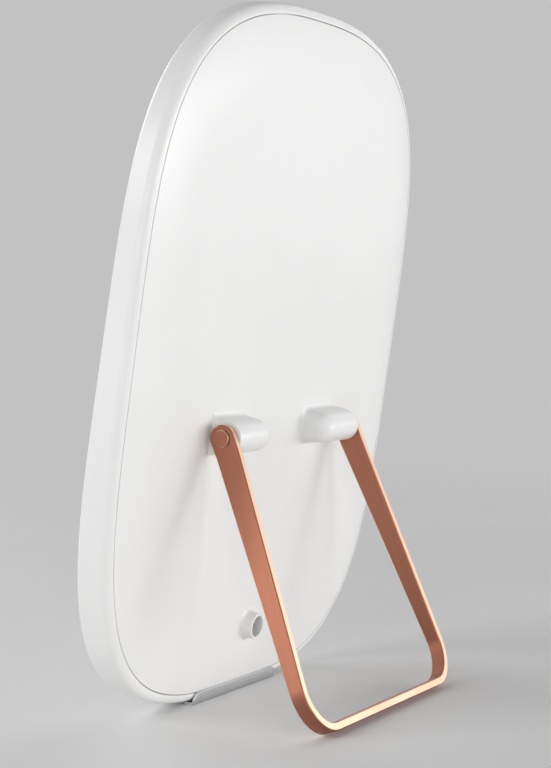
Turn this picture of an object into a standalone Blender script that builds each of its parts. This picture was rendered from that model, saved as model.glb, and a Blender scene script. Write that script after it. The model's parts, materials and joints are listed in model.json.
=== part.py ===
"""Light therapy lamp: a slim lit panel that leans on a swing-out U stand.

Metres, +Z up. The origin is the middle of the foot's flat underside, the lit face looks to -Y and
the stand swings out to +Y. Most of the lamp is drawn in the panel's own axes: X across, Y from the
front to the back of the panel with zero on the back cover's outer face, Z up the panel from its
bottom edge. Left and right are those of someone who sits in front of the light.
"""

import math

import bmesh
import bpy
import numpy as np
from mathutils import Matrix, Vector

# Panel outline, a softened rectangle: |x / half width| ** side power + |z / half height| ** end power = 1.
# The side power eases off towards the top, so the top is a little rounder than the bottom.
PANEL_HEIGHT = 0.350
PANEL_WIDTH = 0.2838
PANEL_DEPTH = 0.0160
OUTLINE_SIDE_POWER = 2.91
OUTLINE_END_POWER = 3.76
OUTLINE_TOP_EASE = 0.22
OUTLINE_NUDGE = 0.002
OUTLINE_STEPS = 80
OUTLINE_SAMPLES = 4000

# Stance
PANEL_LEAN = math.radians(7.2)
FRONT_TILT = math.radians(0.98)
LEG_LEAN = math.radians(23.47)
GROUND_CLEARANCE = 0.0004

# Fits
SEAT_GAP = 0.0003
RUNNING_GAP = 0.0003
OVERRUN = 0.004
WELD_DEPTH = 0.0005
ROUND_STEPS = 24
SMALL_ROUND_STEPS = 16

# Front housing
REAR_EDGE_ROUND = 0.0049
FRONT_EDGE_ROUND = 0.0030
EDGE_ROUND_STEPS = 4
FRAME_WALL = 0.0062
BEZEL_WALL = 0.0020
BEZEL_WIDTH = 0.0130
BEZEL_BOTTOM = 0.0260
WINDOW_CHAMFER = 0.0006

# Light stack behind the window, from the front
DIFFUSER_RECESS = 0.0004
DIFFUSER_RIM = 0.0012
GUIDE_THICKNESS = 0.0030
REFLECTOR_THICKNESS = 0.0004
STACK_OVERLAP = 0.0020

# LED boards, one at each side of the light guide, their length a share of the panel's height
LED_BOARD_SHARE = 0.343
LED_BOARD_THICKNESS = 0.0010
LED_COUNT = 12
LED_HEIGHT = 0.0008
LED_WIDTH = 0.0035
LED_SHADE = 0.0012

# Chassis plate
CHASSIS_THICKNESS = 0.0010
CHASSIS_BOTTOM = 0.0222
POST_RADIUS = 0.0024
POST_INSET = 0.0083
POST_ANGLES = (36, 68, 112, 144, 214, 326)
SCREW_RADIUS = 0.0009
SCREW_LENGTH = 0.0052
SCREW_HEAD_RADIUS = 0.0017
SCREW_HEAD_HEIGHT = 0.0012

# Rear cover and its hooks; its back swells from the parting line to a flat middle
COVER_WALL = 0.0020
COVER_SWELL = 0.0034
COVER_EASE_SHARE = 0.20
COVER_EASE_STEPS = 5
PARTING_GAP = 0.0004
COVER_EDGE_CHAMFER = 0.0003
HOOK_ANGLES = (14, 52, 128, 166, 200, 340)
HOOK_INSET = 0.0077
HOOK_WIDTH = 0.0080
HOOK_THICKNESS = 0.0012
HOOK_BARB = 0.0008
HOOK_TIP = 0.0007

# Pivot bosses, moulded on the rear cover; they are a share slimmer at their inner ends
PIVOT_HEIGHT = 0.1393
PIVOT_SETBACK = 0.0118
BOSS_RADIUS = 0.0082
BOSS_OUTER = 0.0650
BOSS_LENGTH = 0.0348
BOSS_FILLET = 0.0022
BOSS_DRAFT = 0.0006
BOSS_TAPER_SHARE = 0.04
BOSS_CORNER_ROUND = 0.0060
BOSS_END_ROUND = 0.0080
BOSS_ROUND_STEPS = 7
BOSS_TOP_ANGLE = math.radians(80)

# Pivot hardware
BOLT_HEAD_RADIUS = 0.0042
BOLT_HEAD_HEIGHT = 0.0016
BOLT_HEAD_PROUD = 0.0010
BOLT_HEAD_CHAMFER = 0.0003
BOLT_SHOULDER_RADIUS = 0.0025
BOLT_THREAD_RADIUS = 0.0020
BOLT_THREAD_LENGTH = 0.0110
INSERT_RADIUS = 0.0035
INSERT_LENGTH = 0.0150
FRICTION_WASHER_RADIUS = 0.0055
FRICTION_WASHER_THICKNESS = 0.0008
SPRING_WASHER_THICKNESS = 0.0004

# U stand, one strip of aluminium bent to shape
STRIP_THICKNESS = 0.0040
STRIP_TOP_WIDTH = 0.0132
STRIP_BAR_WIDTH = 0.0077
STAND_BOTTOM_WIDTH = 0.1688
EYE_STRAIGHT = 0.0086
EYE_BEND_RADIUS = 0.030
STAND_CORNER_RADIUS = 0.0216
EYE_STEPS = 7
EYE_TOP_ANGLE = math.radians(82)
BEND_STEPS = 3
CORNER_STEPS = 10

# DC inlet
JACK_HEIGHT = 0.0363
COLLAR_HEIGHT = 0.0058
COLLAR_RADIUS = 0.0069
COLLAR_FILLET = 0.0020
COLLAR_DRAFT = 0.0002
COLLAR_RIM_CHAMFER = 0.0003
RECESS_RADIUS = 0.0054
JACK_BARREL_RADIUS = 0.0040
JACK_BARREL_PROUD = 0.0014
JACK_FLANGE_RADIUS = 0.0052
JACK_FLANGE_THICKNESS = 0.0010
JACK_REAR_RADIUS = 0.0045
JACK_REAR_LENGTH = 0.0050
JACK_BORE_RADIUS = 0.00285
JACK_BACK_WALL = 0.0012
JACK_PIN_RADIUS = 0.0010
JACK_PIN_RECESS = 0.0007
JACK_PIN_TAIL = 0.0003

# Control board, behind the bottom of the bezel
BOARD_WIDTH = 0.0900
BOARD_HEIGHT = 0.0120
BOARD_THICKNESS = 0.0012
BOARD_CENTRE_HEIGHT = 0.0142
BOARD_POST_SPACING = 0.0820
BOARD_POST_RADIUS = 0.0022
CHIP_SIZE = 0.0050
CHIP_HEIGHT = 0.0010
CHIP_OFFSET = 0.0120
INDUCTOR_RADIUS = 0.0030
INDUCTOR_HEIGHT = 0.0028
INDUCTOR_OFFSET = 0.0220
CAPACITOR_RADIUS = 0.0025
CAPACITOR_HEIGHT = 0.0040
CAPACITOR_OFFSET = -0.0240

# Power button on the bezel and the switch behind it
BUTTON_RADIUS = 0.0045
BUTTON_PROUD = 0.0004
BUTTON_FLANGE = 0.0010
BUTTON_FLANGE_THICKNESS = 0.0008
BUTTON_DISH = 0.0003
BUTTON_EDGE = 0.0005
SWITCH_SIZE = 0.0060
SWITCH_HEIGHT = 0.0023
PLUNGER_RADIUS = 0.0016
PLUNGER_PROUD = 0.0006
PLUNGER_DEPTH = 0.0006
BUTTON_TRAVEL = 0.0005

# Foot
FOOT_LENGTH = 0.0850
FOOT_DEPTH = 0.0060
FOOT_BASE = 0.0012
FOOT_LIP_THICKNESS = 0.0011
FOOT_LIP_HEIGHT = 0.0061
FOOT_END_ROUND = 0.0042
FOOT_LIP_END = 0.0002
FOOT_EDGE_CHAMFER = 0.0008
FOOT_TOP_CHAMFER = 0.0006
FOOT_END_STEPS = 6

# Wires inside
POWER_WIRE_RADIUS = 0.0006
LED_LEAD_RADIUS = 0.0007
WIRE_BEVEL_STEPS = 2
WIRE_PITCH = 0.0030
WIRE_BEND = 0.0040
LEAD_SLOT_HEIGHT = 0.0060
LEAD_SLOT_WIDTH = 0.0030
LEAD_CORNER_SHARE = 0.61

# Worked out from the sizes above
HALF_WIDTH = PANEL_WIDTH / 2
HALF_HEIGHT = PANEL_HEIGHT / 2
LED_BOARD_LENGTH = LED_BOARD_SHARE * PANEL_HEIGHT
FRONT = -PANEL_DEPTH
BEZEL_BACK = FRONT + BEZEL_WALL
RIM_BACK = BEZEL_BACK + SEAT_GAP + DIFFUSER_RIM
GUIDE_BACK = RIM_BACK + SEAT_GAP + GUIDE_THICKNESS
REFLECTOR_BACK = GUIDE_BACK + SEAT_GAP + REFLECTOR_THICKNESS
CHASSIS_FRONT = REFLECTOR_BACK + SEAT_GAP
CHASSIS_BACK = CHASSIS_FRONT + CHASSIS_THICKNESS
COVER_INNER = -COVER_WALL
COVER_EASE = COVER_EASE_SHARE * HALF_WIDTH
WINDOW_HALF_WIDTH = HALF_WIDTH - BEZEL_WIDTH
WINDOW_HALF_HEIGHT = (PANEL_HEIGHT - BEZEL_WIDTH - BEZEL_BOTTOM) / 2
WINDOW_CENTRE = BEZEL_BOTTOM + WINDOW_HALF_HEIGHT
GUIDE_EDGE = WINDOW_HALF_WIDTH + LED_SHADE
LED_FACE = GUIDE_EDGE + SEAT_GAP
BUTTON_FLANGE_FRONT = BEZEL_BACK + SEAT_GAP
BUTTON_FLANGE_BACK = BUTTON_FLANGE_FRONT + BUTTON_FLANGE_THICKNESS
SWITCH_FRONT = BUTTON_FLANGE_BACK + SEAT_GAP + PLUNGER_PROUD
BOARD_FRONT = SWITCH_FRONT + SWITCH_HEIGHT + SEAT_GAP
BOARD_BACK = BOARD_FRONT + BOARD_THICKNESS
STRIP_INNER = BOSS_OUTER + RUNNING_GAP
STRIP_OUTER = STRIP_INNER + STRIP_THICKNESS
WASHER_SEAT = STRIP_INNER - 2 * RUNNING_GAP - FRICTION_WASHER_THICKNESS
HEAD_OUTER = STRIP_OUTER + BOLT_HEAD_PROUD
HEAD_INNER = HEAD_OUTER - BOLT_HEAD_HEIGHT
COUNTERBORE_FLOOR = HEAD_INNER - 2 * SEAT_GAP - SPRING_WASHER_THICKNESS
INSERT_OUTER = WASHER_SEAT - SEAT_GAP
THREAD_END = INSERT_OUTER - BOLT_THREAD_LENGTH
COLLAR_TOP = COVER_SWELL + COLLAR_HEIGHT
JACK_TIP = COVER_SWELL + JACK_BARREL_PROUD
JACK_FLANGE_FRONT = COVER_SWELL - COVER_WALL - SEAT_GAP
JACK_BACK = JACK_FLANGE_FRONT - JACK_FLANGE_THICKNESS - JACK_REAR_LENGTH

PANEL_LIFT = GROUND_CLEARANCE - REAR_EDGE_ROUND * (math.cos(PANEL_LEAN) + math.sin(PANEL_LEAN) - 1)
LIP_SETBACK = FOOT_LIP_THICKNESS + SEAT_GAP
PANEL_SETBACK = FOOT_DEPTH / 2 - (LIP_SETBACK - PANEL_LIFT * math.sin(PANEL_LEAN)) / math.cos(PANEL_LEAN)
PANEL_PLACE = Matrix.Translation((0, PANEL_SETBACK, PANEL_LIFT)) @ Matrix.Rotation(-PANEL_LEAN, 4, "X")
FRONT_TURN = (
    Matrix.Translation((0, FRONT, HALF_HEIGHT))
    @ Matrix.Rotation(-FRONT_TILT, 4, "X")
    @ Matrix.Translation((0, -FRONT, -HALF_HEIGHT))
)
FRONT_PLACE = PANEL_PLACE @ FRONT_TURN
PIVOT_PLACE = PANEL_PLACE @ Vector((0, PIVOT_SETBACK, PIVOT_HEIGHT))
LEG_LENGTH = (PIVOT_PLACE.z - STRIP_BAR_WIDTH / 2 * math.sin(LEG_LEAN)) / math.cos(LEG_LEAN)

WHITE = (0.86, 0.86, 0.85)
OFF_WHITE = (0.80, 0.80, 0.79)
COPPER = (0.62, 0.33, 0.23)
SILVER = (0.55, 0.55, 0.57)
STEEL = (0.62, 0.62, 0.64)
BRASS = (0.72, 0.53, 0.23)
BLACK = (0.02, 0.02, 0.022)
DARK_GREY = (0.10, 0.10, 0.11)
MID_GREY = (0.38, 0.38, 0.40)
BOARD_GREEN = (0.02, 0.16, 0.07)
RED = (0.50, 0.02, 0.02)
CLEAR = (0.90, 0.93, 0.95)


def clear_scene():
    for item in list(bpy.data.objects):
        bpy.data.objects.remove(item, do_unlink=True)


def finish(name, colour, roughness, metallic=0.0):
    material = bpy.data.materials.new(name)
    material.use_nodes = True
    shader = material.node_tree.nodes["Principled BSDF"]
    shader.inputs["Base Color"].default_value = (*colour, 1)
    shader.inputs["Roughness"].default_value = roughness
    shader.inputs["Metallic"].default_value = metallic
    material.diffuse_color = (*colour, 1)
    return material


def frame(name, place):
    """An empty that carries the pieces drawn in its axes."""
    empty = bpy.data.objects.new(name, None)
    bpy.context.collection.objects.link(empty)
    empty.matrix_world = place
    return empty


def add_object(name, bm, parent, look):
    bmesh.ops.recalc_face_normals(bm, faces=bm.faces)
    mesh = bpy.data.meshes.new(name)
    bm.to_mesh(mesh)
    bm.free()
    item = bpy.data.objects.new(name, mesh)
    bpy.context.collection.objects.link(item)
    item.parent = parent
    if look:
        mesh.materials.append(finish(name, *look))
        mesh.shade_smooth()
        mesh.set_sharp_from_angle(angle=math.radians(35))
    else:
        item.hide_render = True
        item.display_type = "WIRE"
    return item


def add_rings(bm, rings, loop=False):
    """Skin a row of rings: a closed loop of rings is a hollow ring, an open row gets end faces."""
    rows = [[bm.verts.new(point) for point in ring] for ring in rings]
    pairs = list(zip(rows, rows[1:]))
    if loop:
        pairs.append((rows[-1], rows[0]))
    for low, high in pairs:
        for a, b, c, d in zip(low, low[1:] + low[:1], high[1:] + high[:1], high):
            bm.faces.new((a, b, c, d))
    if not loop:
        bm.faces.new(reversed(rows[0]))
        bm.faces.new(rows[-1])


def skin(name, rings, parent, look, loop=False):
    bm = bmesh.new()
    add_rings(bm, rings, loop)
    return add_object(name, bm, parent, look)


def circle(axis, centre, radius, steps):
    """Points of a circle round the X or the Y axis through the centre."""
    x, y, z = centre
    for step in range(steps):
        turn = 2 * math.pi * step / steps
        across, up = radius * math.cos(turn), radius * math.sin(turn)
        yield (x, y + across, z + up) if axis == "X" else (x + across, y, z + up)


def turned_rings(axis, centre, profile, steps):
    """Rings of a turned shape; the profile is (place along the axis, radius) pairs."""
    x, y, z = centre
    rings = []
    for along, radius in profile:
        middle = (along, y, z) if axis == "X" else (x, along, z)
        rings.append(list(circle(axis, middle, radius, steps)))
    return rings


def turned(name, axis, centre, profile, parent, look, steps=ROUND_STEPS, loop=False):
    return skin(name, turned_rings(axis, centre, profile, steps), parent, look, loop)


def add_box(bm, low, high, place=None):
    corners = [
        [(x, y, z) for x, y in ((low[0], low[1]), (high[0], low[1]), (high[0], high[1]), (low[0], high[1]))]
        for z in (low[2], high[2])
    ]
    if place:
        corners = [[place @ Vector(point) for point in ring] for ring in corners]
    add_rings(bm, corners)


def box(name, low, high, parent, look):
    bm = bmesh.new()
    add_box(bm, low, high)
    return add_object(name, bm, parent, look)


def plate(name, points, back, front, parent, look):
    """An outline of (x, z) points made solid from back to front."""
    rings = [[(x, y, z) for x, z in points] for y in (back, front)]
    return skin(name, rings, parent, look)


def boolean(item, tool, operation):
    step = item.modifiers.new(tool.name, "BOOLEAN")
    step.object = tool
    step.operation = operation
    step.solver = "EXACT"


def softened(half_width, half_height, centre, angle):
    """A point (x, z) of the softened rectangle."""
    c, s = math.cos(angle), math.sin(angle)
    side_power = OUTLINE_SIDE_POWER - OUTLINE_TOP_EASE * s
    x = math.copysign(abs(c) ** (2 / side_power), c)
    z = math.copysign(abs(s) ** (2 / OUTLINE_END_POWER), s)
    return half_width * x, centre + half_height * z


def edge_point(half_width, half_height, centre, angle):
    """A point of the softened rectangle, and the outward normal there, as (x, z) pairs."""
    x0, z0 = softened(half_width, half_height, centre, angle - OUTLINE_NUDGE)
    x1, z1 = softened(half_width, half_height, centre, angle + OUTLINE_NUDGE)
    size = math.hypot(x1 - x0, z1 - z0)
    return softened(half_width, half_height, centre, angle), ((z1 - z0) / size, (x0 - x1) / size)


def even_angles(steps):
    """Angles that space the panel's outline points evenly along its edge."""
    angles = np.linspace(0, 2 * math.pi, OUTLINE_SAMPLES + 1)
    points = np.array([softened(HALF_WIDTH, HALF_HEIGHT, HALF_HEIGHT, angle) for angle in angles])
    travelled = np.concatenate(([0], np.cumsum(np.hypot(*np.diff(points, axis=0).T))))
    wanted = np.linspace(0, travelled[-1], steps, endpoint=False)
    return np.interp(wanted, travelled, angles)


EDGE_ANGLES = even_angles(OUTLINE_STEPS)


def outline(inset, half_width=HALF_WIDTH, half_height=HALF_HEIGHT, centre=HALF_HEIGHT):
    """The panel's outline, or another like it, moved in by an inset."""
    points = []
    for angle in EDGE_ANGLES:
        (x, z), (nx, nz) = edge_point(half_width, half_height, centre, angle)
        points.append((x - inset * nx, z - inset * nz))
    return points


def window(inset):
    return outline(inset, WINDOW_HALF_WIDTH, WINDOW_HALF_HEIGHT, WINDOW_CENTRE)


def at_depth(points, y):
    return [(x, y, z) for x, z in points]


def at_front_depth(points, y):
    """The same in the axes of the front, for a ring of something that is drawn in the panel's axes."""
    return [FRONT_TURN @ Vector((x, y, z)) for x, z in points]


def edge_place(degrees, inset):
    """Axes at a place inside the panel's edge: X along the edge, Y to the back, Z outwards."""
    (x, z), (nx, nz) = edge_point(HALF_WIDTH, HALF_HEIGHT, HALF_HEIGHT, math.radians(degrees))
    out = Vector((nx, 0, nz))
    back = Vector((0, 1, 0))
    along = back.cross(out)
    place = Matrix.Translation((x - inset * nx, 0, z - inset * nz))
    return place @ Matrix((along, back, out)).transposed().to_4x4()


def quarter(steps):
    """Cosine and sine of evenly spaced angles from 0 to 90 degrees."""
    for step in range(steps + 1):
        turn = math.pi / 2 * step / steps
        yield math.cos(turn), math.sin(turn)


def board_posts():
    for side in (-1, 1):
        yield (side * BOARD_POST_SPACING / 2, 0, BOARD_CENTRE_HEIGHT)


def chassis_posts():
    for degrees in POST_ANGLES:
        yield edge_place(degrees, POST_INSET).translation


def front_housing(panel, front):
    rings = []
    for c, s in quarter(EDGE_ROUND_STEPS):
        rings.append(at_depth(outline(REAR_EDGE_ROUND * (1 - s)), -REAR_EDGE_ROUND * (1 - c)))
    for c, s in quarter(EDGE_ROUND_STEPS):
        depth = FRONT + FRONT_EDGE_ROUND * (1 - s)
        rings.append(at_front_depth(outline(FRONT_EDGE_ROUND * (1 - c)), depth))
    cover_seat = COVER_INNER - SEAT_GAP
    rings += [
        at_front_depth(window(-WINDOW_CHAMFER), FRONT),
        at_front_depth(window(0), FRONT + WINDOW_CHAMFER),
        at_front_depth(window(0), BEZEL_BACK),
        at_front_depth(outline(FRAME_WALL), BEZEL_BACK),
        at_depth(outline(FRAME_WALL), cover_seat),
        at_depth(outline(REAR_EDGE_ROUND), cover_seat),
    ]
    housing = skin("front_housing", rings, panel, (WHITE, 0.35), loop=True)

    posts, holes = bmesh.new(), bmesh.new()
    for centres, radius, back in (
        (chassis_posts(), POST_RADIUS, CHASSIS_FRONT - SEAT_GAP),
        (board_posts(), BOARD_POST_RADIUS, BOARD_FRONT - SEAT_GAP),
    ):
        post = [(BEZEL_BACK - WELD_DEPTH, radius), (back, radius)]
        hole = [(BEZEL_BACK, SCREW_RADIUS + SEAT_GAP), (back + OVERRUN, SCREW_RADIUS + SEAT_GAP)]
        for centre in centres:
            add_rings(posts, turned_rings("Y", centre, post, SMALL_ROUND_STEPS))
            add_rings(holes, turned_rings("Y", centre, hole, SMALL_ROUND_STEPS))
    button_hole = BUTTON_RADIUS + RUNNING_GAP
    opening = [(FRONT - OVERRUN, button_hole), (BEZEL_BACK + WELD_DEPTH, button_hole)]
    add_rings(holes, turned_rings("Y", (0, 0, BOARD_CENTRE_HEIGHT), opening, ROUND_STEPS))
    boolean(housing, add_object("housing_posts", posts, front, None), "UNION")
    boolean(housing, add_object("housing_holes", holes, front, None), "DIFFERENCE")

    half = FOOT_LENGTH / 2 + SEAT_GAP
    low = (-half, -FOOT_DEPTH / 2 - SEAT_GAP, -OVERRUN)
    high = (half, FOOT_DEPTH, FOOT_BASE + SEAT_GAP)
    boolean(housing, box("foot_rebate", low, high, None, None), "DIFFERENCE")


def light_stack(front):
    plateau = FRONT + DIFFUSER_RECESS
    rim_front = BEZEL_BACK + SEAT_GAP
    rings = [
        at_depth(window(RUNNING_GAP), plateau),
        at_depth(window(RUNNING_GAP), rim_front),
        at_depth(window(-STACK_OVERLAP), rim_front),
        at_depth(window(-STACK_OVERLAP), RIM_BACK),
    ]
    skin("diffuser", rings, front, (OFF_WHITE, 0.45))

    trimmed = [(max(-GUIDE_EDGE, min(GUIDE_EDGE, x)), z) for x, z in window(-STACK_OVERLAP)]
    guide_front = RIM_BACK + SEAT_GAP
    plate("light_guide", trimmed, GUIDE_BACK, guide_front, front, (CLEAR, 0.05))
    plate("reflector_sheet", trimmed, REFLECTOR_BACK, GUIDE_BACK + SEAT_GAP, front, (WHITE, 0.60))


def led_boards(front):
    pitch = LED_BOARD_LENGTH / LED_COUNT
    start = HALF_HEIGHT - LED_BOARD_LENGTH / 2
    end = start + LED_BOARD_LENGTH
    back_face = LED_FACE + LED_HEIGHT
    outer_face = back_face + LED_BOARD_THICKNESS
    points = [(outer_face, start), (outer_face, end), (back_face, end)]
    for step in reversed(range(LED_COUNT)):
        middle = start + pitch * (step + 1 / 2)
        low, high = middle - LED_WIDTH / 2, middle + LED_WIDTH / 2
        points += [(back_face, high), (LED_FACE, high), (LED_FACE, low), (back_face, low)]
    points.append((back_face, start))
    for side, name in ((-1, "led_board_left"), (1, "led_board_right")):
        mirrored = [(side * x, z) for x, z in points]
        plate(name, mirrored, GUIDE_BACK, RIM_BACK + SEAT_GAP, front, (OFF_WHITE, 0.50))


def lead_slots():
    """Low and high (x, z) corners of the chassis slots that pass the LED leads."""
    top = HALF_HEIGHT - LED_BOARD_LENGTH / 2 - SEAT_GAP
    middle = LED_FACE + LED_HEIGHT + LED_BOARD_THICKNESS / 2
    for side in (-1, 1):
        x = side * middle
        yield (x - LEAD_SLOT_WIDTH / 2, top - LEAD_SLOT_HEIGHT), (x + LEAD_SLOT_WIDTH / 2, top)


def chassis(front):
    sheet = outline(FRAME_WALL + SEAT_GAP)
    item = plate("chassis_plate", sheet, CHASSIS_BACK, CHASSIS_FRONT, front, (STEEL, 0.40, 1.0))
    cuts = bmesh.new()
    start, end = CHASSIS_FRONT - OVERRUN, CHASSIS_BACK + OVERRUN
    for centre in chassis_posts():
        hole = [(start, SCREW_RADIUS + SEAT_GAP), (end, SCREW_RADIUS + SEAT_GAP)]
        add_rings(cuts, turned_rings("Y", centre, hole, SMALL_ROUND_STEPS))
    for degrees in HOOK_ANGLES:
        half = HOOK_WIDTH / 2 + SEAT_GAP
        low = (-half, start, -HOOK_THICKNESS / 2 - SEAT_GAP)
        add_box(cuts, low, (half, end, HOOK_INSET), edge_place(degrees, HOOK_INSET))
    for (x0, z0), (x1, z1) in lead_slots():
        add_box(cuts, (x0, start, z0), (x1, end, z1))
    add_box(cuts, (-PANEL_WIDTH, start, -OVERRUN), (PANEL_WIDTH, end, CHASSIS_BOTTOM))
    boolean(item, add_object("chassis_cuts", cuts, front, None), "DIFFERENCE")


def screw(name, centre, seat, front):
    """A small pan-head screw whose head sits on a face at the seat and whose shank goes forward."""
    under = seat + SEAT_GAP
    profile = [
        (under - SCREW_LENGTH, SCREW_RADIUS),
        (under, SCREW_RADIUS),
        (under, SCREW_HEAD_RADIUS),
        (under + SCREW_HEAD_HEIGHT / 2, SCREW_HEAD_RADIUS),
        (under + SCREW_HEAD_HEIGHT, SCREW_HEAD_RADIUS / 2),
    ]
    turned(name, "Y", centre, profile, front, (STEEL, 0.30, 1.0), SMALL_ROUND_STEPS)


def screws(front):
    for index, centre in enumerate(chassis_posts(), 1):
        screw(f"chassis_screw_{index}", centre, CHASSIS_BACK, front)
    for index, centre in enumerate(board_posts(), 1):
        screw(f"board_screw_{index}", centre, BOARD_BACK, front)


def boss_ring(side, level, half_height, inner):
    """One D-shaped ring of a boss: flat at its outer end, round and a little slimmer at its inner end."""
    radius = min(BOSS_CORNER_ROUND, half_height)
    points = [(BOSS_OUTER, -half_height)]
    for c, s in quarter(BOSS_ROUND_STEPS):
        points.append((inner + radius * (1 - s), -half_height + radius * (1 - c)))
    for c, s in quarter(BOSS_ROUND_STEPS):
        points.append((inner + radius * (1 - c), half_height - radius * (1 - s)))
    points.append((BOSS_OUTER, half_height))
    ring = []
    for x, z in points:
        slim = 1 - BOSS_TAPER_SHARE * (BOSS_OUTER - x) / BOSS_LENGTH
        past_axis = max(level - PIVOT_SETBACK, 0)
        ring.append((side * x, level - past_axis * (1 - slim), PIVOT_HEIGHT + slim * z))
    return ring


def boss_rings(side):
    inner_face = BOSS_OUTER - BOSS_LENGTH
    foot_height = BOSS_RADIUS + BOSS_DRAFT
    rings = [boss_ring(side, COVER_SWELL - WELD_DEPTH, foot_height + BOSS_FILLET, inner_face - BOSS_FILLET)]
    for c, s in quarter(BOSS_ROUND_STEPS):
        spread, rise = BOSS_FILLET * (1 - s), BOSS_FILLET * (1 - c)
        rings.append(boss_ring(side, COVER_SWELL + rise, foot_height + spread, inner_face - spread))
    for step in range(BOSS_ROUND_STEPS + 1):
        turn = BOSS_TOP_ANGLE * step / BOSS_ROUND_STEPS
        level = PIVOT_SETBACK + BOSS_RADIUS * math.sin(turn)
        half_height = BOSS_RADIUS * math.cos(turn)
        rings.append(boss_ring(side, level, half_height, inner_face + BOSS_END_ROUND * (1 - math.cos(turn))))
    return rings


def rear_cover(panel):
    edge = REAR_EDGE_ROUND + PARTING_GAP
    swell = []
    for step in range(COVER_EASE_STEPS + 1):
        share = step / COVER_EASE_STEPS
        inset = edge + COVER_EDGE_CHAMFER + COVER_EASE * share
        swell.append((inset, COVER_SWELL * (1 - (1 - share) ** 2)))
    rings = [at_depth(outline(inset), level - COVER_WALL) for inset, level in reversed(swell)]
    rings += [at_depth(outline(edge), COVER_INNER), at_depth(outline(edge), -COVER_EDGE_CHAMFER)]
    rings += [at_depth(outline(inset), level) for inset, level in swell]
    cover = skin("rear_cover", rings, panel, (WHITE, 0.35))
    added, cut = bmesh.new(), bmesh.new()
    centre = (0, PIVOT_SETBACK, PIVOT_HEIGHT)
    for side in (-1, 1):
        add_rings(added, boss_rings(side))
        bore = INSERT_RADIUS + SEAT_GAP
        washer = FRICTION_WASHER_RADIUS + SEAT_GAP
        profile = [
            (side * (INSERT_OUTER - INSERT_LENGTH - SEAT_GAP), bore),
            (side * WASHER_SEAT, bore),
            (side * WASHER_SEAT, washer),
            (side * (BOSS_OUTER + OVERRUN), washer),
        ]
        add_rings(cut, turned_rings("X", centre, profile, ROUND_STEPS))
    for degrees in HOOK_ANGLES:
        place = edge_place(degrees, HOOK_INSET)
        half, thick = HOOK_WIDTH / 2, HOOK_THICKNESS / 2
        catch = (FRONT_TURN @ Vector((0, CHASSIS_FRONT - SEAT_GAP, place.translation.z))).y
        hook = [
            (COVER_INNER / 2, -thick),
            (COVER_INNER / 2, thick),
            (catch - HOOK_TIP, thick),
            (catch - HOOK_TIP, -thick - HOOK_BARB / 2),
            (catch, -thick - HOOK_BARB),
            (catch, -thick),
        ]
        add_rings(added, [[place @ Vector((x, y, z)) for y, z in hook] for x in (-half, half)])

    jack = (0, 0, JACK_HEIGHT)
    collar = [(COVER_SWELL - WELD_DEPTH, COLLAR_RADIUS + COLLAR_FILLET)]
    for c, s in quarter(EDGE_ROUND_STEPS):
        collar.append((COVER_SWELL + COLLAR_FILLET * (1 - c), COLLAR_RADIUS + COLLAR_FILLET * (1 - s)))
    collar += [
        (COLLAR_TOP - COLLAR_RIM_CHAMFER, COLLAR_RADIUS - COLLAR_DRAFT),
        (COLLAR_TOP, COLLAR_RADIUS - COLLAR_DRAFT - COLLAR_RIM_CHAMFER),
    ]
    recess = [
        (COVER_INNER - OVERRUN, JACK_BARREL_RADIUS + SEAT_GAP),
        (COVER_SWELL, JACK_BARREL_RADIUS + SEAT_GAP),
        (COVER_SWELL, RECESS_RADIUS),
        (COLLAR_TOP + OVERRUN, RECESS_RADIUS),
    ]
    add_rings(added, turned_rings("Y", jack, collar, ROUND_STEPS))
    add_rings(cut, turned_rings("Y", jack, recess, ROUND_STEPS))
    boolean(cover, add_object("cover_features", added, panel, None), "UNION")
    boolean(cover, add_object("cover_cuts", cut, panel, None), "DIFFERENCE")


def dc_inlet(panel):
    centre = (0, 0, JACK_HEIGHT)
    rear = JACK_FLANGE_FRONT - JACK_FLANGE_THICKNESS
    bore_end = JACK_BACK + JACK_BACK_WALL
    pin_hole = JACK_PIN_RADIUS + SEAT_GAP
    body = [
        (JACK_BACK, JACK_REAR_RADIUS),
        (rear, JACK_REAR_RADIUS),
        (rear, JACK_FLANGE_RADIUS),
        (JACK_FLANGE_FRONT, JACK_FLANGE_RADIUS),
        (JACK_FLANGE_FRONT, JACK_BARREL_RADIUS),
        (JACK_TIP, JACK_BARREL_RADIUS),
        (JACK_TIP, JACK_BORE_RADIUS),
        (bore_end, JACK_BORE_RADIUS),
        (bore_end, pin_hole),
        (JACK_BACK, pin_hole),
    ]
    turned("dc_jack", "Y", centre, body, panel, (BLACK, 0.40), loop=True)
    pin_front = JACK_TIP - JACK_PIN_RECESS
    pin = [
        (JACK_BACK - JACK_PIN_TAIL, JACK_PIN_RADIUS),
        (pin_front - JACK_PIN_RADIUS / 2, JACK_PIN_RADIUS),
        (pin_front, JACK_PIN_RADIUS / 2),
    ]
    turned("jack_pin", "Y", centre, pin, panel, (STEEL, 0.25, 1.0), SMALL_ROUND_STEPS)


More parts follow.
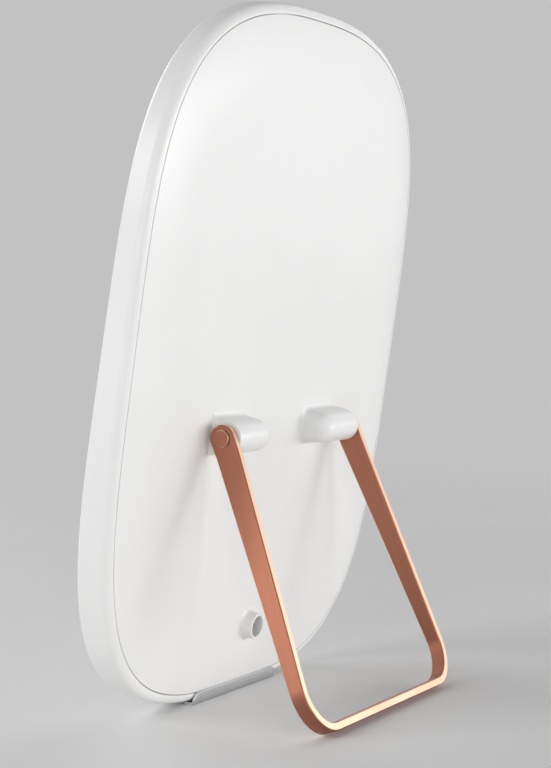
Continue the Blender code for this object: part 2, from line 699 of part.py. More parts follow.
def control_board(front):
    half_width, half_height = BOARD_WIDTH / 2, BOARD_HEIGHT / 2
    low = (-half_width, BOARD_FRONT, BOARD_CENTRE_HEIGHT - half_height)
    high = (half_width, BOARD_BACK, BOARD_CENTRE_HEIGHT + half_height)
    board = box("control_board", low, high, front, (BOARD_GREEN, 0.45))
    holes = bmesh.new()
    radius = SCREW_RADIUS + SEAT_GAP
    for centre in board_posts():
        hole = [(BOARD_FRONT - OVERRUN, radius), (BOARD_BACK + OVERRUN, radius)]
        add_rings(holes, turned_rings("Y", centre, hole, SMALL_ROUND_STEPS))
    boolean(board, add_object("board_holes", holes, front, None), "DIFFERENCE")

    seat = BOARD_BACK + SEAT_GAP
    half = CHIP_SIZE / 2
    low = (CHIP_OFFSET - half, seat, BOARD_CENTRE_HEIGHT - half)
    high = (CHIP_OFFSET + half, seat + CHIP_HEIGHT, BOARD_CENTRE_HEIGHT + half)
    box("driver_chip", low, high, front, (BLACK, 0.45))
    for name, offset, radius, height, look in (
        ("inductor", INDUCTOR_OFFSET, INDUCTOR_RADIUS, INDUCTOR_HEIGHT, (DARK_GREY, 0.55)),
        ("capacitor", CAPACITOR_OFFSET, CAPACITOR_RADIUS, CAPACITOR_HEIGHT, (STEEL, 0.30, 1.0)),
    ):
        chamfer = radius / ROUND_STEPS
        profile = [(seat, radius), (seat + height - chamfer, radius), (seat + height, radius - chamfer)]
        turned(name, "Y", (offset, 0, BOARD_CENTRE_HEIGHT), profile, front, look)


def power_switch(front):
    centre = (0, 0, BOARD_CENTRE_HEIGHT)
    half = SWITCH_SIZE / 2
    low = (-half, SWITCH_FRONT, BOARD_CENTRE_HEIGHT - half)
    high = (half, BOARD_FRONT - SEAT_GAP, BOARD_CENTRE_HEIGHT + half)
    body = box("tact_switch", low, high, front, (DARK_GREY, 0.50))
    well = PLUNGER_RADIUS + RUNNING_GAP
    well_floor = SWITCH_FRONT + PLUNGER_DEPTH + BUTTON_TRAVEL + RUNNING_GAP
    profile = [(SWITCH_FRONT - OVERRUN, well), (well_floor, well)]
    bore = bmesh.new()
    add_rings(bore, turned_rings("Y", centre, profile, ROUND_STEPS))
    boolean(body, add_object("switch_well", bore, front, None), "DIFFERENCE")

    travelling = frame("button_travel", FRONT_PLACE @ Matrix.Translation(centre))
    tip = SWITCH_FRONT - PLUNGER_PROUD
    plunger = [(SWITCH_FRONT + PLUNGER_DEPTH, PLUNGER_RADIUS), (tip, PLUNGER_RADIUS)]
    turned("switch_plunger", "Y", (0, 0, 0), plunger, travelling, (BLACK, 0.40))
    face = FRONT - BUTTON_PROUD
    cap = [
        (BUTTON_FLANGE_BACK, BUTTON_RADIUS + BUTTON_FLANGE),
        (BUTTON_FLANGE_FRONT, BUTTON_RADIUS + BUTTON_FLANGE),
        (BUTTON_FLANGE_FRONT, BUTTON_RADIUS),
        (face + BUTTON_EDGE, BUTTON_RADIUS),
        (face, BUTTON_RADIUS - BUTTON_EDGE),
        (face + BUTTON_DISH, BUTTON_RADIUS / 2),
    ]
    turned("power_button", "Y", (0, 0, 0), cap, travelling, (MID_GREY, 0.35))


def pivot_hardware(panel):
    centre = (0, PIVOT_SETBACK, PIVOT_HEIGHT)
    washer_outer = WASHER_SEAT + RUNNING_GAP + FRICTION_WASHER_THICKNESS
    shoulder_bore = BOLT_SHOULDER_RADIUS + SEAT_GAP
    for side, hand in ((-1, "left"), (1, "right")):
        bolt = [
            (side * THREAD_END, BOLT_THREAD_RADIUS),
            (side * (INSERT_OUTER + SEAT_GAP), BOLT_THREAD_RADIUS),
            (side * (INSERT_OUTER + SEAT_GAP), BOLT_SHOULDER_RADIUS),
            (side * HEAD_INNER, BOLT_SHOULDER_RADIUS),
            (side * HEAD_INNER, BOLT_HEAD_RADIUS),
            (side * (HEAD_OUTER - BOLT_HEAD_CHAMFER), BOLT_HEAD_RADIUS),
            (side * HEAD_OUTER, BOLT_HEAD_RADIUS - BOLT_HEAD_CHAMFER),
        ]
        turned(f"pivot_bolt_{hand}", "X", centre, bolt, panel, (COPPER, 0.30, 1.0))
        insert = tube_profile(side * INSERT_OUTER, side * (INSERT_OUTER - INSERT_LENGTH),
                              BOLT_THREAD_RADIUS + SEAT_GAP, INSERT_RADIUS)
        turned(f"pivot_insert_{hand}", "X", centre, insert, panel, (BRASS, 0.35, 1.0), loop=True)
        washer = tube_profile(side * washer_outer, side * (washer_outer - FRICTION_WASHER_THICKNESS),
                              shoulder_bore, FRICTION_WASHER_RADIUS)
        turned(f"friction_washer_{hand}", "X", centre, washer, panel, (BLACK, 0.50), loop=True)
        outer = HEAD_INNER - SEAT_GAP
        spring = tube_profile(side * outer, side * (outer - SPRING_WASHER_THICKNESS),
                              shoulder_bore, BOLT_HEAD_RADIUS)
        turned(f"spring_washer_{hand}", "X", centre, spring, panel, (STEEL, 0.30, 1.0), loop=True)


def tube_profile(start, end, inner, outer):
    return [(start, inner), (start, outer), (end, outer), (end, inner)]


def filleted(corners, radii, steps):
    """A path of (point, direction) pairs through (x, z) corners, with an arc in each corner."""
    corners = [Vector(corner) for corner in corners]
    path = [(corners[0], (corners[1] - corners[0]).normalized())]
    for before, corner, after, radius, count in zip(corners, corners[1:], corners[2:], radii, steps):
        arriving = (corner - before).normalized()
        leaving = (after - corner).normalized()
        turn = arriving.angle_signed(leaving)
        cut = radius * math.tan(abs(turn) / 2)
        start = corner - cut * arriving
        side = Vector((-arriving.y, arriving.x)) * (-1 if turn > 0 else 1)
        centre = start + radius * side
        for step in range(count + 1):
            spin = Matrix.Rotation(-turn * step / count, 2)
            path.append((centre - radius * (spin @ side), spin @ arriving))
    path.append((corners[-1], (corners[-1] - corners[-2]).normalized()))
    return path


def strip_half_width(z):
    """Half the strip's width at a height over the pivot: round over it, narrowing below it."""
    top = STRIP_TOP_WIDTH / 2
    if z > 0:
        return math.sqrt(max(top * top - z * z, 0))
    share = min(-z / (LEG_LENGTH - STAND_CORNER_RADIUS), 1)
    return top + (STRIP_BAR_WIDTH / 2 - top) * share


def stand(pivot):
    half_bottom = STAND_BOTTOM_WIDTH / 2
    top = STRIP_TOP_WIDTH / 2
    down = [(STRIP_OUTER, 0), (STRIP_OUTER, -EYE_STRAIGHT), (half_bottom, -LEG_LENGTH), (0, -LEG_LENGTH)]
    radii, steps = (EYE_BEND_RADIUS, STAND_CORNER_RADIUS), (BEND_STEPS, CORNER_STEPS)
    half_path = []
    for step in range(EYE_STEPS):
        turn = EYE_TOP_ANGLE * (1 - step / EYE_STEPS)
        half_path.append((Vector((STRIP_OUTER, top * math.sin(turn))), Vector((0, -1))))
    half_path += filleted(down, radii, steps)[:-1]
    rings = []
    for point, direction in half_path:
        inward = Vector((direction.y, -direction.x))
        inner = point + STRIP_THICKNESS * inward
        half = strip_half_width(point.y)
        rings.append([(point.x, -half, point.y), (point.x, half, point.y),
                      (inner.x, half, inner.y), (inner.x, -half, inner.y)])
    mirrored = [[(-x, y, z) for x, y, z in ring] for ring in reversed(rings)]
    strip = skin("stand", rings + mirrored, pivot, (COPPER, 0.32, 1.0))

    holes = bmesh.new()
    through = BOLT_SHOULDER_RADIUS + RUNNING_GAP
    seat = BOLT_HEAD_RADIUS + RUNNING_GAP
    for side in (-1, 1):
        profile = [
            (side * (STRIP_INNER - OVERRUN), through),
            (side * COUNTERBORE_FLOOR, through),
            (side * COUNTERBORE_FLOOR, seat),
            (side * (STRIP_OUTER + OVERRUN), seat),
        ]
        add_rings(holes, turned_rings("X", (0, 0, 0), profile, ROUND_STEPS))
    boolean(strip, add_object("stand_holes", holes, pivot, None), "DIFFERENCE")


def foot():
    """An L-shaped strip under the panel: a flat base, and a lip that lies on the cover."""
    slope = math.tan(PANEL_LEAN)
    thick = FOOT_LIP_THICKNESS / math.cos(PANEL_LEAN)
    back = FOOT_DEPTH / 2
    ends = FOOT_LENGTH / 2
    half_row = []
    for c, s in quarter(FOOT_END_STEPS):
        lip = FOOT_LIP_END + (FOOT_LIP_HEIGHT - FOOT_BASE - FOOT_LIP_END) * s
        half_row.append((ends - FOOT_END_ROUND * (1 - c), lip))
    row = [(-x, lip) for x, lip in half_row] + [(x, lip) for x, lip in reversed(half_row)]
    rings = []
    for x, lip in row:
        top = FOOT_BASE + lip
        chamfer = min(FOOT_TOP_CHAMFER, lip / 2)
        profile = [
            (back - FOOT_EDGE_CHAMFER, 0),
            (-back, 0),
            (-back, FOOT_BASE),
            (back + slope * FOOT_BASE - thick, FOOT_BASE),
            (back + slope * top - thick, top),
            (back + slope * top - chamfer, top),
            (back + slope * (top - chamfer), top - chamfer),
            (back, FOOT_EDGE_CHAMFER),
        ]
        rings.append([(x, y, z) for y, z in profile])
    skin("foot", rings, None, (SILVER, 0.35, 1.0))


def wire(name, points, radius, parent, look):
    curve = bpy.data.curves.new(name, "CURVE")
    curve.dimensions = "3D"
    curve.bevel_depth = radius
    curve.bevel_resolution = WIRE_BEVEL_STEPS
    curve.use_fill_caps = True
    spline = curve.splines.new("POLY")
    spline.points.add(len(points) - 1)
    for knot, point in zip(spline.points, points):
        knot.co = (*point, 1)
    curve.materials.append(finish(name, *look))
    item = bpy.data.objects.new(name, curve)
    bpy.context.collection.objects.link(item)
    item.parent = parent


def rounded_route(corners, radius):
    """A wire's route: straight runs with each corner rounded off."""
    corners = [Vector(corner) for corner in corners]
    route = [corners[0]]
    for before, corner, after in zip(corners, corners[1:], corners[2:]):
        cut = min(radius, (corner - before).length / 2, (after - corner).length / 2)
        start = corner + cut * (before - corner).normalized()
        end = corner + cut * (after - corner).normalized()
        for step in range(BEND_STEPS + 2):
            share = step / (BEND_STEPS + 1)
            first, second = start.lerp(corner, share), corner.lerp(end, share)
            route.append(first.lerp(second, share))
    route.append(corners[-1])
    return route


def wires(panel, front):
    board_end = BOARD_BACK + SEAT_GAP
    above = BOARD_CENTRE_HEIGHT + BOARD_HEIGHT / 4
    landing = FRONT_TURN @ Vector((0, board_end, above))
    start = JACK_HEIGHT - JACK_REAR_RADIUS - SEAT_GAP
    middle = (JACK_BACK + JACK_FLANGE_FRONT) / 2
    for side, name, look in ((-1, "power_wire_red", (RED, 0.45)), (1, "power_wire_black", (BLACK, 0.45))):
        x = side * WIRE_PITCH
        route = [(x, middle, start), (x, middle, above), (x, landing.y, above)]
        wire(name, rounded_route(route, WIRE_BEND / 2), POWER_WIRE_RADIUS, panel, look)
    layer = CHASSIS_BACK + SEAT_GAP + LED_LEAD_RADIUS
    board_low = HALF_HEIGHT - LED_BOARD_LENGTH / 2 - SEAT_GAP
    slot_middle = board_low - LEAD_SLOT_HEIGHT / 2
    strip_middle = (RIM_BACK + GUIDE_BACK) / 2
    low = CHASSIS_BOTTOM + LEAD_SLOT_HEIGHT
    for side, name in ((-1, "led_lead_left"), (1, "led_lead_right")):
        x = side * (LED_FACE + LED_HEIGHT + LED_BOARD_THICKNESS / 2)
        end = side * (BOARD_WIDTH / 2 - WIRE_BEND)
        route = [
            (x, strip_middle, board_low),
            (x, strip_middle, slot_middle),
            (x, layer, slot_middle),
            (side * LEAD_CORNER_SHARE * HALF_WIDTH, layer, low),
            (end, layer, low),
            (end, layer, above),
            (end, board_end, above),
        ]
        wire(name, rounded_route(route, WIRE_BEND), LED_LEAD_RADIUS, front, (WHITE, 0.45))


def build():
    clear_scene()
    panel = frame("panel", PANEL_PLACE)
    front = frame("front", FRONT_PLACE)
    pivot = frame("stand_pivot", Matrix.Translation(PIVOT_PLACE) @ Matrix.Rotation(LEG_LEAN, 4, "X"))
    front_housing(panel, front)
    light_stack(front)
    led_boards(front)
    chassis(front)
    screws(front)
    rear_cover(panel)
    dc_inlet(panel)
    control_board(front)
    power_switch(front)
    pivot_hardware(panel)
    stand(pivot)
    foot()
    wires(panel, front)


build()
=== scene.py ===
# %% [markdown]
# # A light therapy lamp, from behind
# The lamp is a slim white panel that leans back on a swing-out stand of copper-coloured aluminium.
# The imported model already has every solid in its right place, so this lesson only dresses it: finer
# skins for the parts that show, a procedural finish for every part, then a floor, lamps and a camera.
# All lengths are metres, +Z is up, and the lit face looks to -Y.

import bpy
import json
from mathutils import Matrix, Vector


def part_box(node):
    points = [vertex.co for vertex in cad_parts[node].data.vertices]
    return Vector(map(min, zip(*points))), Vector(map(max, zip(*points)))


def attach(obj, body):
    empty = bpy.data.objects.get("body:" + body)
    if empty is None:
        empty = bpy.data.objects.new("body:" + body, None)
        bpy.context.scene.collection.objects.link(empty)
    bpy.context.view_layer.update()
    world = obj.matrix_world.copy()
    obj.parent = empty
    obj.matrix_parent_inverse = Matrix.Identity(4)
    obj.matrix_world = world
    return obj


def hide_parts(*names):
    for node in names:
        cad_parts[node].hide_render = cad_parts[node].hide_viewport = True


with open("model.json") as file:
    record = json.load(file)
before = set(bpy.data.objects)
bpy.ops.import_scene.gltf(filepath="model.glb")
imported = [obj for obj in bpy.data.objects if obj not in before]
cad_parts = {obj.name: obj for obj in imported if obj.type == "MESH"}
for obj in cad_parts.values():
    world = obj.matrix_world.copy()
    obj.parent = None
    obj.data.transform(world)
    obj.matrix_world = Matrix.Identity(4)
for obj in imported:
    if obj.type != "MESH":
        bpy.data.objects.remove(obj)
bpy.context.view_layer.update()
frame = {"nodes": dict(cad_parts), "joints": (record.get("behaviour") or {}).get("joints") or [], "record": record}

# %% [markdown]
# ## Where the panel stands
# The panel leans back, so it is easiest to draw in its own axes: X across, Y towards the back with
# zero at the parting line, Z up the panel from its bottom edge. The model's record knows two of those
# directions: the rim of the power inlet faces straight out of the cover, and the power button is
# pressed straight into the front. Building the axes from them keeps these skins on the solids.

# %% The panel's axes
import json
import math

import bpy
import numpy as np
from mathutils import Matrix, Vector
from mathutils.geometry import delaunay_2d_cdt

MM = 0.001
JACK_HEIGHT = 36.3 * MM
COVER_SWELL = 3.4 * MM
COLLAR_TOP = COVER_SWELL + 5.8 * MM

mounts = {mount["name"]: mount for mount in frame["record"]["mounts"]}
joints = {joint["name"]: joint for joint in frame["joints"]}


def axes_at(origin, back):
    """Axes whose Y is the given backward direction, with X across the lamp."""
    back = Vector(back).normalized()
    up = Vector((1, 0, 0)).cross(back)
    return Matrix.Translation(origin) @ Matrix(((1, 0, 0), back, up)).transposed().to_4x4()


rim = Vector(mounts["dc_inlet_rim"]["pos_m"])
panel_place = axes_at((0, 0, 0), mounts["dc_inlet_rim"]["axis"])
rim_in_panel = panel_place.inverted() @ rim
panel_place = panel_place @ Matrix.Translation(
    (0, rim_in_panel.y - COLLAR_TOP, rim_in_panel.z - JACK_HEIGHT)
)
print("panel's bottom edge:", [round(x, 5) for x in panel_place.translation])

# %% [markdown]
# The housing is a wedge, deeper at the bottom than at the top, so the front has axes of its own: the
# panel's axes turned a little about a line across the middle of the front face.

# %% The front's axes
HALF_HEIGHT = 175.0 * MM
PANEL_DEPTH = 16.0 * MM
FRONT = -PANEL_DEPTH

press = Vector(joints["power_button_press"]["axis"])
turned_front = axes_at((0, 0, 0), press)
middle = Matrix.Translation((0, FRONT, HALF_HEIGHT))
tilt = panel_place.to_3x3().inverted() @ turned_front.to_3x3()
front_turn = middle @ tilt.to_4x4() @ middle.inverted()
front_place = panel_place @ front_turn
print("front turned by", round(math.degrees(front_turn.to_euler().x), 3), "degrees")

# %% [markdown]
# ## Skins
# A moulded or bent part is drawn here as rings of points with bands of faces between them, like the
# hoops and staves of a barrel. It could also be made with modifiers, but with rings every radius is
# where the real one is, and the faces follow the shape, so highlights run smoothly. A flat area with
# holes in it, such as the back of the panel, is filled with triangles between its edge loops.

# %% A skin of rings, bands and flats
SAME_POINT = 1e-9


def encloses(loop, point):
    """Whether a point is inside a loop, by counting the edges that a ray from it crosses."""
    ends = np.roll(loop, -1, axis=0)
    crossed = (loop[:, 1] > point[1]) != (ends[:, 1] > point[1])
    start, end = loop[crossed], ends[crossed]
    share = (point[1] - start[:, 1]) / (end[:, 1] - start[:, 1])
    return np.count_nonzero(start[:, 0] + share * (end[:, 0] - start[:, 0]) > point[0]) % 2 == 1


class Skin:
    """The points and faces of one piece, with a finish number for each face."""

    def __init__(self):
        self.points, self.faces, self.finishes = [], [], []

    def ring(self, points):
        start = len(self.points)
        self.points += [Vector(point) for point in points]
        return list(range(start, len(self.points)))

    def face(self, corners, finish=0):
        self.faces.append(corners)
        self.finishes.append(finish)

    def band(self, low, high, closed=True, finish=0):
        steps = len(low) if closed else len(low) - 1
        for step in range(steps):
            after = (step + 1) % len(low)
            self.face((low[step], low[after], high[after], high[step]), finish)

    def bands(self, rings, closed=True, finish=0):
        for low, high in zip(rings, rings[1:]):
            self.band(low, high, closed, finish)

    def flat(self, loops, across, up, finish=0):
        """Fills inside the first loop and outside the rest, in the two axes that are given."""
        used = [index for loop in loops for index in loop]
        seen = [Vector((self.points[index][across], self.points[index][up])) for index in used]
        edges, outlines, start = [], [], 0
        for loop in loops:
            size = len(loop)
            edges += [(start + step, start + (step + 1) % size) for step in range(size)]
            outlines.append(np.array(seen[start : start + size]))
            start += size
        spots, _, faces, origins, _, _ = delaunay_2d_cdt(seen, edges, [], 0, SAME_POINT)
        assert all(origins), "two loops cross"
        for corners in faces:
            middle = sum((spots[corner] for corner in corners), Vector((0, 0))) / len(corners)
            inside, *in_holes = [encloses(outline, middle) for outline in outlines]
            if inside and not any(in_holes):
                self.face([used[origins[corner][0]] for corner in corners], finish)


# %% [markdown]
# A finished skin becomes one object that rides on a body of the model, so that it moves with that
# body in every pose. Edges sharper than 30 degrees stay crisp, and everything else is shaded smooth.

# %% From a skin to a piece
import bmesh

SHARP_ANGLE = math.radians(30)
MERGE_DISTANCE = 1e-7


def tidy_mesh(mesh):
    """Merges doubled points, turns faces outwards and counts open edges."""
    bm = bmesh.new()
    bm.from_mesh(mesh)
    bmesh.ops.remove_doubles(bm, verts=bm.verts, dist=MERGE_DISTANCE)
    bmesh.ops.dissolve_degenerate(bm, dist=MERGE_DISTANCE, edges=bm.edges)
    bmesh.ops.recalc_face_normals(bm, faces=bm.faces)
    open_edges = sum(not edge.is_manifold for edge in bm.edges)
    bm.to_mesh(mesh)
    bm.free()
    mesh.shade_smooth()
    mesh.set_sharp_from_angle(angle=SHARP_ANGLE)
    return open_edges


def make_object(name, skin, place, finishes=()):
    mesh = bpy.data.meshes.new(name)
    mesh.from_pydata([place @ point for point in skin.points], [], skin.faces)
    mesh.polygons.foreach_set("material_index", skin.finishes)
    for finish in finishes:
        mesh.materials.append(finish)
    open_edges = tidy_mesh(mesh)
    item = bpy.data.objects.new(name, mesh)
    bpy.context.scene.collection.objects.link(item)
    print(f"{name}: {len(mesh.polygons)} faces, {open_edges} open edges")
    return item


def cut_away(item, tool):
    """Takes the tool's volume out of the item's mesh for good, and deletes the tool."""
    step = item.modifiers.new("cut", "BOOLEAN")
    step.object = tool
    step.operation = "DIFFERENCE"
    step.solver = "EXACT"
    whole = bpy.context.evaluated_depsgraph_get()
    mesh = bpy.data.meshes.new_from_object(item.evaluated_get(whole))
    item.modifiers.remove(step)
    old, item.data = item.data, mesh
    name = old.name
    bpy.data.meshes.remove(old)
    mesh.name = name
    bpy.data.objects.remove(tool, do_unlink=True)
    print(f"{item.name} cut: {len(mesh.polygons)} faces, {tidy_mesh(mesh)} open edges")


# %% [markdown]
# ## Finishes
# Each finish is a small graph of nodes on one shader. The colour is never quite even: noise moves it
# between two close tones, and a second, finer noise gives the surface its relief. What is the same
# all over, such as how metallic it is, is typed on the shader itself. Noise may move the roughness
# too, but never across 0.27: the renderer's noise filter treats smoother surfaces in another way, so
# a range that crosses it shows blotches.

# %% Node helpers


def new_finish(name, roughness, metallic=0.0, **sockets):
    material = bpy.data.materials.new(name)
    material.use_nodes = True
    shader = material.node_tree.nodes["Principled BSDF"]
    shader.inputs["Roughness"].default_value = roughness
    shader.inputs["Metallic"].default_value = metallic
    for socket, value in sockets.items():
        shader.inputs[socket.replace("_", " ")].default_value = value
    print("finish:", name)
    return material


def node(material, kind, **inputs):
    """A new node for a material, or for the world."""
    made = material.node_tree.nodes.new("ShaderNode" + kind)
    for name, value in inputs.items():
        made.inputs[name.replace("_", " ")].default_value = value
    return made


def link(material, output, socket):
    material.node_tree.links.new(output, socket)


def grain(material, scale, detail=2.0, stretch=(1, 1, 1), source="Object"):
    """Noise in metres: scale is grains per metre, and stretch squeezes it along each axis."""
    coordinates = node(material, "TexCoord")
    spread = node(material, "Mapping", Scale=stretch)
    noise = node(material, "TexNoise", Scale=scale, Detail=detail)
    link(material, coordinates.outputs[source], spread.inputs["Vector"])
    link(material, spread.outputs["Vector"], noise.inputs["Vector"])
    return noise.outputs["Fac"]


def colour_between(material, factor, dark, light):
    """Two close tones, with the change between them where most of the noise lies."""
    ramp = node(material, "ValToRGB")
    for stop, position, tone in zip(ramp.color_ramp.elements, (0.3, 0.7), (dark, light)):
        stop.position = position
        stop.color = (*tone, 1)
    link(material, factor, ramp.inputs["Fac"])
    shader = material.node_tree.nodes["Principled BSDF"]
    link(material, ramp.outputs["Color"], shader.inputs["Base Color"])


def roughness_between(material, factor, smooth, rough):
    spread = node(material, "MapRange", To_Min=smooth, To_Max=rough)
    link(material, factor, spread.inputs["Value"])
    shader = material.node_tree.nodes["Principled BSDF"]
    link(material, spread.outputs["Result"], shader.inputs["Roughness"])


def relief(material, height, strength, depth):
    bump = node(material, "Bump", Strength=strength, Distance=depth)
    link(material, height, bump.inputs["Height"])
    shader = material.node_tree.nodes["Principled BSDF"]
    link(material, bump.outputs["Normal"], shader.inputs["Normal"])


# %% [markdown]
# The housing and the cover are white satin plastic, straight from a mould whose steel was lightly
# spark-eroded: the grain is a third of a millimetre across and only just breaks up a reflection.

# %% White satin plastic
white_shell = new_finish("white_shell", 0.34, IOR=1.46)
colour_between(white_shell, grain(white_shell, 14, 3), (0.815, 0.815, 0.81), (0.85, 0.85, 0.845))
roughness_between(white_shell, grain(white_shell, 60, 2), 0.31, 0.37)
relief(white_shell, grain(white_shell, 2600, 2), 0.10, 0.02 * MM)

# %% [markdown]
# The stand is bead-polished, brushed along its length and anodised a rose copper. Brushing leaves
# streaks a fifth of a millimetre wide and centimetres long, so the noise is squeezed hard across the
# strip. It reads a map of the strip that is laid along its length, which bends with the strip.

# %% Brushed copper-coloured aluminium
STREAKS = (30, 3600, 1)

copper_brushed = new_finish("copper_brushed", 0.34, metallic=1.0)
streaks = grain(copper_brushed, 1, 3, STREAKS, "UV")
colour_between(copper_brushed, streaks, (0.36, 0.145, 0.092), (0.44, 0.182, 0.118))
roughness_between(copper_brushed, streaks, 0.30, 0.42)
relief(copper_brushed, streaks, 0.16, 0.02 * MM)

# %% [markdown]
# The narrow edges are cut again with a diamond tool after anodising, so they are smoother and paler
# than the faces. The cutter leaves only a faint line along them.

# %% Diamond-cut edge
CUTTER_LINES = (12, 2400, 1)

copper_edge = new_finish("copper_edge", 0.32, metallic=1.0)
cut_lines = grain(copper_edge, 1, 2, CUTTER_LINES, "UV")
colour_between(copper_edge, cut_lines, (0.72, 0.47, 0.32), (0.80, 0.56, 0.40))
roughness_between(copper_edge, cut_lines, 0.28, 0.36)

# %% [markdown]
# The foot is bare aluminium with a satin, slightly grey skin. It is brushed from end to end, which
# is across the lamp, along X.

# %% Silver aluminium
silver_foot = new_finish("silver_foot", 0.38, metallic=1.0)
brushed = grain(silver_foot, 1, 3, (25, 2600, 2600))
colour_between(silver_foot, brushed, (0.50, 0.50, 0.51), (0.60, 0.60, 0.61))
roughness_between(silver_foot, brushed, 0.34, 0.46)
relief(silver_foot, brushed, 0.12, 0.02 * MM)

# %% [markdown]
# ## The panel's outline
# Seen from the back, the panel is a rectangle whose four sides bulge into one soft curve, a little
# rounder at the top. A power curve gives it: the powers say how square the sides and the ends are.
# The points are spaced evenly along the edge, so all faces round the rim have about the same size.

# %% Outline points
HALF_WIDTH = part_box("front_housing")[1].x
SIDE_POWER = 2.91
END_POWER = 3.76
TOP_EASE = 0.22
OUTLINE_STEPS = 320
MEASURING_POINTS = 8001


def softened(angles, half_width, half_height, centre):
    c, s = np.cos(angles), np.sin(angles)
    x = np.sign(c) * np.abs(c) ** (2 / (SIDE_POWER - TOP_EASE * s))
    z = np.sign(s) * np.abs(s) ** (2 / END_POWER)
    return np.stack([half_width * x, centre + half_height * z], -1)


def even_angles(steps):
    """Angles whose points are evenly spaced along the curve."""
    angles = np.linspace(0, 2 * math.pi, MEASURING_POINTS)
    points = softened(angles, HALF_WIDTH, HALF_HEIGHT, HALF_HEIGHT)
    travelled = np.concatenate(([0], np.cumsum(np.hypot(*np.diff(points, axis=0).T))))
    return np.interp(np.linspace(0, travelled[-1], steps, endpoint=False), travelled, angles)


EDGE_ANGLES = even_angles(OUTLINE_STEPS)


def outline(
    inset, depth, half_width=HALF_WIDTH, half_height=HALF_HEIGHT, centre=HALF_HEIGHT, turn=None
):
    """The outline moved in by an inset, at a depth, turned to the front's axes if asked."""
    nudge = 0.002
    here = softened(EDGE_ANGLES, half_width, half_height, centre)
    before = softened(EDGE_ANGLES - nudge, half_width, half_height, centre)
    after = softened(EDGE_ANGLES + nudge, half_width, half_height, centre)
    along = (after - before) / np.linalg.norm(after - before, axis=1)[:, None]
    here = here - inset * np.stack([along[:, 1], -along[:, 0]], -1)
    points = [Vector((x, depth, z)) for x, z in here]
    return [turn @ point for point in points] if turn else points


print("panel", round(2 * HALF_WIDTH / MM, 1), "x", 2 * HALF_HEIGHT / MM, "mm")

# %% [markdown]
# Rounded edges come up on every part, so one helper gives the steps of a quarter turn.

# %% Quarter turns and circles


def quarter(steps):
    """Cosine and sine of even steps from 0 to 90 degrees."""
    for step in range(steps + 1):
        turn = math.pi / 2 * step / steps
        yield math.cos(turn), math.sin(turn)


def circle(axis, centre, radius, steps):
    """Points round the X or the Y axis through the centre."""
    x, y, z = centre
    for step in range(steps):
        turn = 2 * math.pi * step / steps
        across, rise = radius * math.cos(turn), radius * math.sin(turn)
        yield (x, y + across, z + rise) if axis == "X" else (x + across, y, z + rise)


def turned(skin, axis, centre, profile, steps=64, finish=0, ends=None):
    """A turned shape from (place along the axis, radius) pairs; ends is the closed ends' finish."""
    x, y, z = centre
    rings = []
    for along, radius in profile:
        middle = (along, y, z) if axis == "X" else (x, along, z)
        rings.append(skin.ring(circle(axis, middle, radius, steps)))
    skin.bands(rings, finish=finish)
    if ends is not None:
        skin.face(rings[0], ends)
        skin.face(rings[-1], ends)
    return rings


# %% [markdown]
# ## Front housing
# The housing is one moulding: a bezel round the window and a rim that runs back to the parting line.
# Behind, the rim is rounded off with a five millimetre radius, and the front edge with three. The
# parting line itself is a narrow gap between the rim and the cover, with a tiny radius on each side.

# %% Front housing
REAR_EDGE_ROUND = 4.9 * MM
FRONT_EDGE_ROUND = 3.0 * MM
FRAME_WALL = 6.2 * MM
BEZEL_WALL = 2.0 * MM
BEZEL_WIDTH = 13.0 * MM
BEZEL_BOTTOM = 26.0 * MM
WINDOW_ROUND = 0.6 * MM
SMALL_ROUND = 0.15 * MM
COVER_WALL = 2.0 * MM
SEAT_GAP = 0.3 * MM
SUPPORT = 0.6 * MM

window_size = dict(
    half_width=HALF_WIDTH - BEZEL_WIDTH,
    half_height=HALF_HEIGHT - (BEZEL_WIDTH + BEZEL_BOTTOM) / 2,
    centre=HALF_HEIGHT + (BEZEL_BOTTOM - BEZEL_WIDTH) / 2,
    turn=front_turn,
)
seat = -COVER_WALL - SEAT_GAP
bezel_back = FRONT + BEZEL_WALL

housing = Skin()
rings = [outline(REAR_EDGE_ROUND, seat)]
for c, s in quarter(3):
    rings.append(outline(REAR_EDGE_ROUND - SMALL_ROUND * (1 - c), -SMALL_ROUND * (1 - s)))
for c, s in list(quarter(14))[1:]:
    rings.append(outline(REAR_EDGE_ROUND * (1 - s), -REAR_EDGE_ROUND * (1 - c)))
rings.append(outline(0, -REAR_EDGE_ROUND - SUPPORT))
rings.append(outline(0, FRONT + FRONT_EDGE_ROUND + SUPPORT, turn=front_turn))
for c, s in quarter(10):
    inset, depth = FRONT_EDGE_ROUND * (1 - c), FRONT + FRONT_EDGE_ROUND * (1 - s)
    rings.append(outline(inset, depth, turn=front_turn))
rings.append(outline(FRONT_EDGE_ROUND + SUPPORT, FRONT, turn=front_turn))
outside = [housing.ring(ring) for ring in rings]
housing.bands(outside)

inside = [outline(-WINDOW_ROUND - SUPPORT, FRONT, **window_size)]
for c, s in quarter(4):
    inside.append(outline(-WINDOW_ROUND * (1 - s), FRONT + WINDOW_ROUND * (1 - c), **window_size))
inside.append(outline(0, bezel_back, **window_size))
inside = [housing.ring(ring) for ring in inside]
housing.bands(inside)
back_ring = housing.ring(outline(FRAME_WALL, bezel_back, turn=front_turn))
seat_ring = housing.ring(outline(FRAME_WALL, seat))
housing.bands([back_ring, seat_ring, outside[0]])
print("window:", round(2 * window_size["half_width"] / MM, 1), "mm wide")

# %% [markdown]
# The bezel has a round hole for the power button. With it in place, the bezel's two faces are filled.

# %% Button hole and bezel faces
BUTTON_HEIGHT = 14.2 * MM
BUTTON_HOLE = 4.8 * MM

